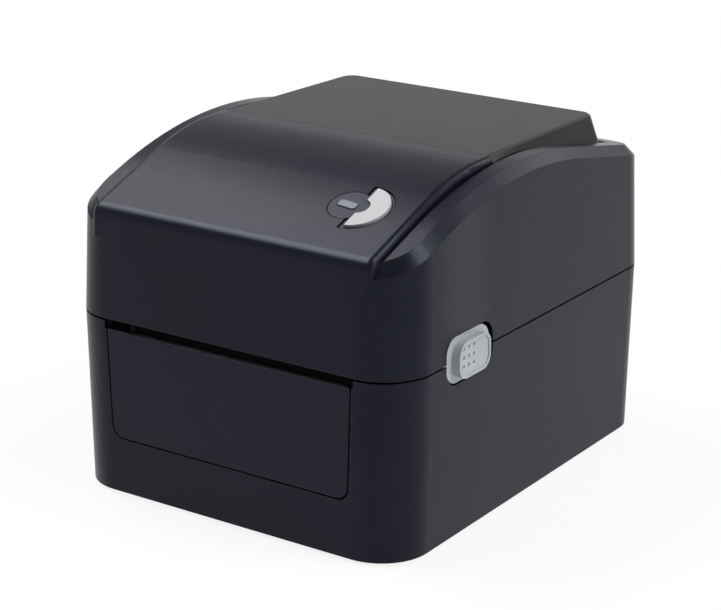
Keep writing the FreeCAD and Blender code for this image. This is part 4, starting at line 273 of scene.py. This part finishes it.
def board(name):
    made = Finish(name)
    runs = made.add("ShaderNodeTexBrick", offset=0.5, squash=0.6)
    runs.inputs["Scale"].default_value = RUN_SCALE
    runs.inputs["Mortar Size"].default_value = RUN_WIDTH
    runs.inputs["Color1"].default_value = rgba(BLACK)
    runs.inputs["Color2"].default_value = rgba(BLACK)
    runs.inputs["Mortar"].default_value = rgba(WHITE)
    made.link(made.place, runs.inputs["Vector"])
    via = made.span(made.cells(VIA_SPACING_MM), 1.0, 0.0, 0.09, 0.13)
    weave = made.noise(WEAVE_MM, 1.0)
    run_share = made.math("MULTIPLY", runs.outputs["Color"], 0.8)
    copper = made.mix(run_share, rgba(SOLDER_MASK), shade(SOLDER_MASK, 2.2))
    made.set(
        Base_Color=made.mix(via, copper, rgba(TINNED)),
        Metallic=via,
        Roughness=made.span(weave, 0.24, 0.36),
        Specular_IOR_Level=0.5,
    )
    made.bump(made.math("ADD", runs.outputs["Color"], weave), BOARD_DEPTH_MM)
    return made.material


# Thermal head: glazed ceramic, a fine row of gold leads and the dark heater line
LEAD_WIDTH_MM = 0.5
HEATER_SETBACK_MM = 7.5
HEATER_HALF_MM = 0.35
HEATER_FADE_MM = 0.5
GLAZE_MM = 6.0
GLAZE_DARK = (0.56, 0.54, 0.48)
GLAZE_PALE = (0.66, 0.64, 0.58)
GOLD = (0.62, 0.45, 0.18)
HEATER = (0.05, 0.045, 0.04)


def ceramic(name):
    made = Finish(name)
    across = made.math("MULTIPLY", made.axis("X"), 1.0 / (LEAD_WIDTH_MM * MM))
    leads = made.math("PINGPONG", across, 1.0)
    heater_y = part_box("platen_roller")[0].y + HEATER_SETBACK_MM * MM
    along = made.math("ABSOLUTE", made.math("SUBTRACT", made.axis("Y"), heater_y))
    line = made.span(along, 1.0, 0.0, HEATER_HALF_MM * MM, HEATER_FADE_MM * MM)
    glaze = made.noise(GLAZE_MM, 3.0)
    body = made.mix(made.span(glaze, 0.0, 1.0), rgba(GLAZE_DARK), rgba(GLAZE_PALE))
    gold = made.mix(made.span(leads, 0.0, 0.6, 0.6, 0.7), body, rgba(GOLD))
    made.set(
        Base_Color=made.mix(line, gold, rgba(HEATER)),
        Roughness=made.span(glaze, 0.12, 0.22),
        Coat_Weight=0.4,
    )
    return made.material


# Finishes by the record's slot names
CASE = (0.0064, 0.007, 0.0125)
PANEL = (0.0078, 0.0085, 0.0148)
NAVY_TINT = (0.78, 0.82, 1.0)
# Slight crown of the hood slope: centre, half length and rise in millimetres
HOOD_SWELL = (-78.0, 44.0, 1.8)

plastics = {
    "case_black": dict(colour=CASE, rough=0.32, specular=0.17, tint=NAVY_TINT),
    "cover_black": dict(colour=CASE, rough=0.28, specular=0.17, tint=NAVY_TINT, swell=HOOD_SWELL),
    "panel_black": dict(
        colour=PANEL, rough=0.3, specular=0.18, grain_mm=0.45, grain_depth=0.012, tint=NAVY_TINT),
    "inner_black": dict(
        colour=(0.026, 0.026, 0.029), rough=0.55, specular=0.3, grain_mm=0.8, grain_depth=0.04),
    "latch_grey": dict(
        colour=(0.36, 0.38, 0.405), rough=0.42, specular=0.4, grain_mm=0.5, grain_depth=0.015,
        edge_mm=0.4, rub=1.25),
    "button_grey": dict(
        colour=(0.425, 0.415, 0.427), rough=0.42, specular=0.4, grain_mm=0.4, grain_depth=0.01,
        edge_mm=0.3, rub=1.15),
    "bezel_black": dict(
        colour=CASE, rough=0.36, specular=0.3, grain_mm=0.4, grain_depth=0.01, edge_mm=0.3, tint=NAVY_TINT),
    "gear_white": dict(
        colour=(0.72, 0.71, 0.66), rough=0.44, specular=0.45, grain_mm=0.6, grain_depth=0.012,
        edge_mm=0.25, rub=1.15),
    "bush_black": dict(
        colour=(0.024, 0.024, 0.026), rough=0.46, specular=0.35, grain_mm=0.6, grain_depth=0.012,
        edge_mm=0.25),
    "black_steel": dict(
        colour=(0.022, 0.022, 0.024), rough=0.4, specular=0.4, grain_mm=0.3, grain_depth=0.008,
        edge_mm=0.2, rub=4.0),
    "motor_black": dict(
        colour=(0.04, 0.04, 0.044), rough=0.38, specular=0.5, grain_mm=0.9, grain_depth=0.03, edge_mm=0.4),
    "chip_black": dict(
        colour=(0.018, 0.018, 0.02), rough=0.6, specular=0.35, grain_mm=0.3, grain_depth=0.02, edge_mm=0.2),
    "socket_black": dict(
        colour=(0.022, 0.022, 0.024), rough=0.45, specular=0.35, grain_mm=0.6, grain_depth=0.02,
        edge_mm=0.3),
    "holder_grey": dict(
        colour=(0.17, 0.175, 0.185), rough=0.45, specular=0.4, grain_mm=0.6, grain_depth=0.02,
        edge_mm=0.4, rub=1.3),
}
metals = {
    "steel": dict(colour=(0.55, 0.55, 0.56), rough=0.28),
    "zinc": dict(colour=(0.62, 0.63, 0.65), rough=0.34, along=(12.0, 12.0, 1.0), line_mm=0.6),
    "spring_steel": dict(
        colour=(0.48, 0.48, 0.5), rough=0.3, along=(1.0, 1.0, 1.0), line_mm=0.2, edge_mm=0.1),
    "sink_aluminium": dict(colour=(0.72, 0.73, 0.75), rough=0.4, along=(60.0, 1.0, 1.0), line_mm=0.3),
}
rubbers = {
    "foot_rubber": dict(colour=(0.018, 0.018, 0.018), rough=0.78, grain_mm=0.9),
    "roller_rubber": dict(colour=(0.024, 0.024, 0.026), rough=0.62, grain_mm=0.35),
}
clears = {
    "window_smoke": dict(
        colour=(0.032, 0.029, 0.03), rough=0.3, transmission=0.25, scuff=0.03, specular=0.5, ior=1.17),
    "lens_blue": dict(
        colour=(0.155, 0.168, 0.222), rough=0.2, transmission=0.3, scuff=0.04, specular=0.3),
    "led_white": dict(colour=(0.82, 0.8, 0.7), rough=0.25, transmission=0.2, scuff=0.04),
}
finishes = {"board_green": board("board_green"), "head_ceramic": ceramic("head_ceramic")}
for maker, looks in ((plastic, plastics), (metal, metals), (rubber, rubbers), (clear, clears)):
    for slot, look in looks.items():
        finishes[slot] = maker(slot, **look)

for node in nodes.values():
    for place, old in enumerate(node.data.materials):
        node.data.materials[place] = finishes[old.name.split(".")[0]]

# Coil springs: wound wire in place of each spring part, hung from the cover's body
WIRE_SIDES = 10
STEPS_PER_TURN = 36
ALONG_X = 0
ALONG_Z = 2


# A helix of round wire that fills the node's box along one axis
def wind(name, node, axis, wire_mm, turns):
    low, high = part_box(node)
    wire = wire_mm * MM
    middle = (low + high) / 2.0
    side = (axis + 1) % 3
    other = (axis + 2) % 3
    radius = (high[side] - low[side]) / 2.0 - wire
    start = low[axis] + wire
    run = high[axis] - low[axis] - 2.0 * wire
    count = STEPS_PER_TURN * turns
    points = []
    for step in range(count + 1):
        angle = 2.0 * math.pi * step / STEPS_PER_TURN
        for rib in range(WIRE_SIDES):
            around = 2.0 * math.pi * rib / WIRE_SIDES
            reach = radius + wire * math.cos(around)
            point = [0.0, 0.0, 0.0]
            point[axis] = start + run * step / count + wire * math.sin(around)
            point[side] = middle[side] + reach * math.cos(angle)
            point[other] = middle[other] + reach * math.sin(angle)
            points.append(point)
    faces = [tuple(reversed(range(WIRE_SIDES)))]
    for step in range(count):
        for rib in range(WIRE_SIDES):
            first = step * WIRE_SIDES + rib
            second = step * WIRE_SIDES + (rib + 1) % WIRE_SIDES
            faces.append((first, second, second + WIRE_SIDES, first + WIRE_SIDES))
    last = count * WIRE_SIDES
    faces.append(tuple(range(last, last + WIRE_SIDES)))
    mesh = bpy.data.meshes.new(name)
    mesh.from_pydata(points, [], faces)
    mesh.shade_smooth()
    mesh.materials.append(finishes["spring_steel"])
    coil = bpy.data.objects.new(name, mesh)
    scene.collection.objects.link(coil)
    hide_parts(node)
    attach(coil, "cover")
    return coil


LATCH_WIRE_MM = 0.3
LATCH_TURNS = 3
HEAD_WIRE_MM = 0.4
HEAD_TURNS = 6
for hand in ("left", "right"):
    latch_node = f"latch_spring_{hand}"
    latch_coil = wind(f"latch_coil_{hand}", latch_node, ALONG_X, LATCH_WIRE_MM, LATCH_TURNS)
    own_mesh(latch_coil)
    head_node = f"head_spring_{hand}"
    head_coil = wind(f"head_coil_{hand}", head_node, ALONG_Z, HEAD_WIRE_MM, HEAD_TURNS)
    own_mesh(head_coil)


# Stage: a pale floor that shows white but keeps the shadow, in a white room
# One for rays from the camera, in a reflection or through a clear piece
def seen_directly(tree):
    path = tree.nodes.new("ShaderNodeLightPath")
    share = path.outputs["Is Camera Ray"]
    for name in ("Is Glossy Ray", "Is Transmission Ray"):
        either = tree.nodes.new("ShaderNodeMath")
        either.operation = "MAXIMUM"
        tree.links.new(share, either.inputs[0])
        tree.links.new(path.outputs[name], either.inputs[1])
        share = either.outputs["Value"]
    return share


# The floor's glow fades near the part, for its shadow, and is out below it
FLOOR_SIZE = 12.0
FLOOR_PAINT = (0.9, 0.9, 0.9)
FLOOR_ROUGH = 0.9
FLOOR_GLOW = 0.85
SHADOW_NEAR = 0.12
SHADOW_FAR = 0.32
UNDER_NEAR = 0.06
UNDER_FAR = 0.085
floor_mesh = bpy.data.meshes.new("floor")
half = FLOOR_SIZE / 2
floor_mesh.from_pydata(
    [(-half, -half, 0.0), (half, -half, 0.0), (half, half, 0.0), (-half, half, 0.0)], [], [(0, 1, 2, 3)])
floor = bpy.data.objects.new("floor", floor_mesh)
scene.collection.objects.link(floor)
floor_material = bpy.data.materials.new("floor")
floor_material.use_nodes = True
floor_tree = floor_material.node_tree
floor_paint = floor_tree.nodes["Principled BSDF"]
floor_paint.inputs["Base Color"].default_value = rgba(FLOOR_PAINT)
floor_paint.inputs["Roughness"].default_value = FLOOR_ROUGH
floor_paint.inputs["Specular IOR Level"].default_value = 0.0
glow = floor_tree.nodes.new("ShaderNodeEmission")
glow.inputs["Color"].default_value = rgba(WHITE)
glow.inputs["Strength"].default_value = 1.0
floor_place = floor_tree.nodes.new("ShaderNodeTexCoord")
floor_reach = floor_tree.nodes.new("ShaderNodeVectorMath")
floor_reach.operation = "LENGTH"
floor_tree.links.new(floor_place.outputs["Object"], floor_reach.inputs[0])
floor_fade = floor_tree.nodes.new("ShaderNodeMapRange")
floor_fade.interpolation_type = "SMOOTHSTEP"
floor_fade.inputs["From Min"].default_value = SHADOW_NEAR
floor_fade.inputs["From Max"].default_value = SHADOW_FAR
floor_fade.inputs["To Min"].default_value = FLOOR_GLOW
floor_fade.inputs["To Max"].default_value = 1.0
floor_tree.links.new(floor_reach.outputs["Value"], floor_fade.inputs["Value"])
floor_under = floor_tree.nodes.new("ShaderNodeMapRange")
floor_under.inputs["From Min"].default_value = UNDER_NEAR
floor_under.inputs["From Max"].default_value = UNDER_FAR
floor_tree.links.new(floor_reach.outputs["Value"], floor_under.inputs["Value"])
floor_level = floor_tree.nodes.new("ShaderNodeMath")
floor_level.operation = "MULTIPLY"
floor_tree.links.new(floor_fade.outputs["Result"], floor_level.inputs[0])
floor_tree.links.new(floor_under.outputs["Result"], floor_level.inputs[1])
glow_share = floor_tree.nodes.new("ShaderNodeMath")
glow_share.operation = "MULTIPLY"
floor_tree.links.new(floor_level.outputs["Value"], glow_share.inputs[1])
floor_tree.links.new(seen_directly(floor_tree), glow_share.inputs[0])
floor_mix = floor_tree.nodes.new("ShaderNodeMixShader")
floor_tree.links.new(glow_share.outputs["Value"], floor_mix.inputs["Fac"])
floor_tree.links.new(floor_paint.outputs["BSDF"], floor_mix.inputs[1])
floor_tree.links.new(glow.outputs["Emission"], floor_mix.inputs[2])
floor_tree.links.new(floor_mix.outputs["Shader"], floor_tree.nodes["Material Output"].inputs["Surface"])
floor_mesh.materials.append(floor_material)

# Room: white at the horizon and dimmer towards the ceiling
ROOM_LIGHT = 0.15
CEILING_LIGHT = 0.3
CEILING_RISE = 0.55
world = bpy.data.worlds.new("studio")
world.use_nodes = True
scene.world = world
room_tree = world.node_tree
room = room_tree.nodes["Background"]
room.inputs["Color"].default_value = rgba(WHITE)
room_place = room_tree.nodes.new("ShaderNodeTexCoord")
room_height = room_tree.nodes.new("ShaderNodeSeparateXYZ")
room_tree.links.new(room_place.outputs["Generated"], room_height.inputs["Vector"])
room_wall = room_tree.nodes.new("ShaderNodeMapRange")
room_wall.inputs["From Min"].default_value = 0.0
room_wall.inputs["From Max"].default_value = CEILING_RISE
room_wall.inputs["To Min"].default_value = 1.0
room_wall.inputs["To Max"].default_value = CEILING_LIGHT
room_tree.links.new(room_height.outputs["Z"], room_wall.inputs["Value"])
room_level = room_tree.nodes.new("ShaderNodeMapRange")
room_level.inputs["To Min"].default_value = ROOM_LIGHT
room_tree.links.new(room_wall.outputs["Result"], room_level.inputs["To Max"])
room_tree.links.new(seen_directly(room_tree), room_level.inputs["Value"])
room_tree.links.new(room_level.outputs["Result"], room.inputs["Strength"])


# A rectangular lamp, turned to the part and hidden from the camera
def softbox(name, place, aim, size, power):
    lamp = bpy.data.lights.new(name, "AREA")
    lamp.shape = "RECTANGLE"
    lamp.size = size[0]
    lamp.size_y = size[1]
    lamp.energy = power
    holder = bpy.data.objects.new(name, lamp)
    holder.location = place
    holder.rotation_mode = "QUATERNION"
    holder.rotation_quaternion = (Vector(aim) - Vector(place)).to_track_quat("-Z", "Y")
    holder.visible_camera = False
    scene.collection.objects.link(holder)


# Lamps: name, place, aim, size and power, in metres and watts
AIM = (0.0, 0.0, 0.08)
softbox("left_softbox", (-0.85, 0.02, 1.3), AIM, (1.3, 0.7), 10.0)
softbox("nose_softbox", (-0.68, -0.27, 1.28), AIM, (0.85, 0.5), 9.0)
softbox("facet_softbox", (0.87, 0.15, 1.2), AIM, (0.6, 0.8), 12.0)
softbox("rear_softbox", (0.55, 1.25, 0.9), AIM, (0.8, 0.6), 3.5)
softbox("right_softbox", (1.5, 0.2, 0.7), AIM, (0.9, 1.0), 5.0)


# Camera at the photograph's angle; its lens suits a 721 by 610 frame, whose size is not set here
AZIMUTH = math.radians(34.1)
ELEVATION = math.radians(18.91)
ROLL = math.radians(0.27)
DISTANCE = 1.0448
TARGET = Vector((-0.00216, -0.00146, 0.07178))
FRAME_WIDTH_PX = 721
FOCAL_PX = 2260.7
SENSOR_MM = 36.0
CLIP_NEAR = 0.05
CLIP_FAR = 50.0

back = Vector((
    math.sin(AZIMUTH) * math.cos(ELEVATION),
    -math.cos(AZIMUTH) * math.cos(ELEVATION),
    math.sin(ELEVATION),
))
level = Vector((math.cos(AZIMUTH), math.sin(AZIMUTH), 0.0))
upright = back.cross(level)
right = level * math.cos(ROLL) + upright * math.sin(ROLL)
up = upright * math.cos(ROLL) - level * math.sin(ROLL)
lens = bpy.data.cameras.new("camera")
lens.sensor_width = SENSOR_MM
lens.lens = FOCAL_PX / FRAME_WIDTH_PX * SENSOR_MM
lens.clip_start = CLIP_NEAR
lens.clip_end = CLIP_FAR
camera = bpy.data.objects.new("camera", lens)
spot = TARGET + back * DISTANCE
camera.matrix_world = Matrix((
    (right.x, up.x, back.x, spot.x),
    (right.y, up.y, back.y, spot.y),
    (right.z, up.z, back.z, spot.z),
    (0.0, 0.0, 0.0, 1.0),
))
scene.collection.objects.link(camera)
scene.camera = camera
scene.view_settings.view_transform = "Standard"
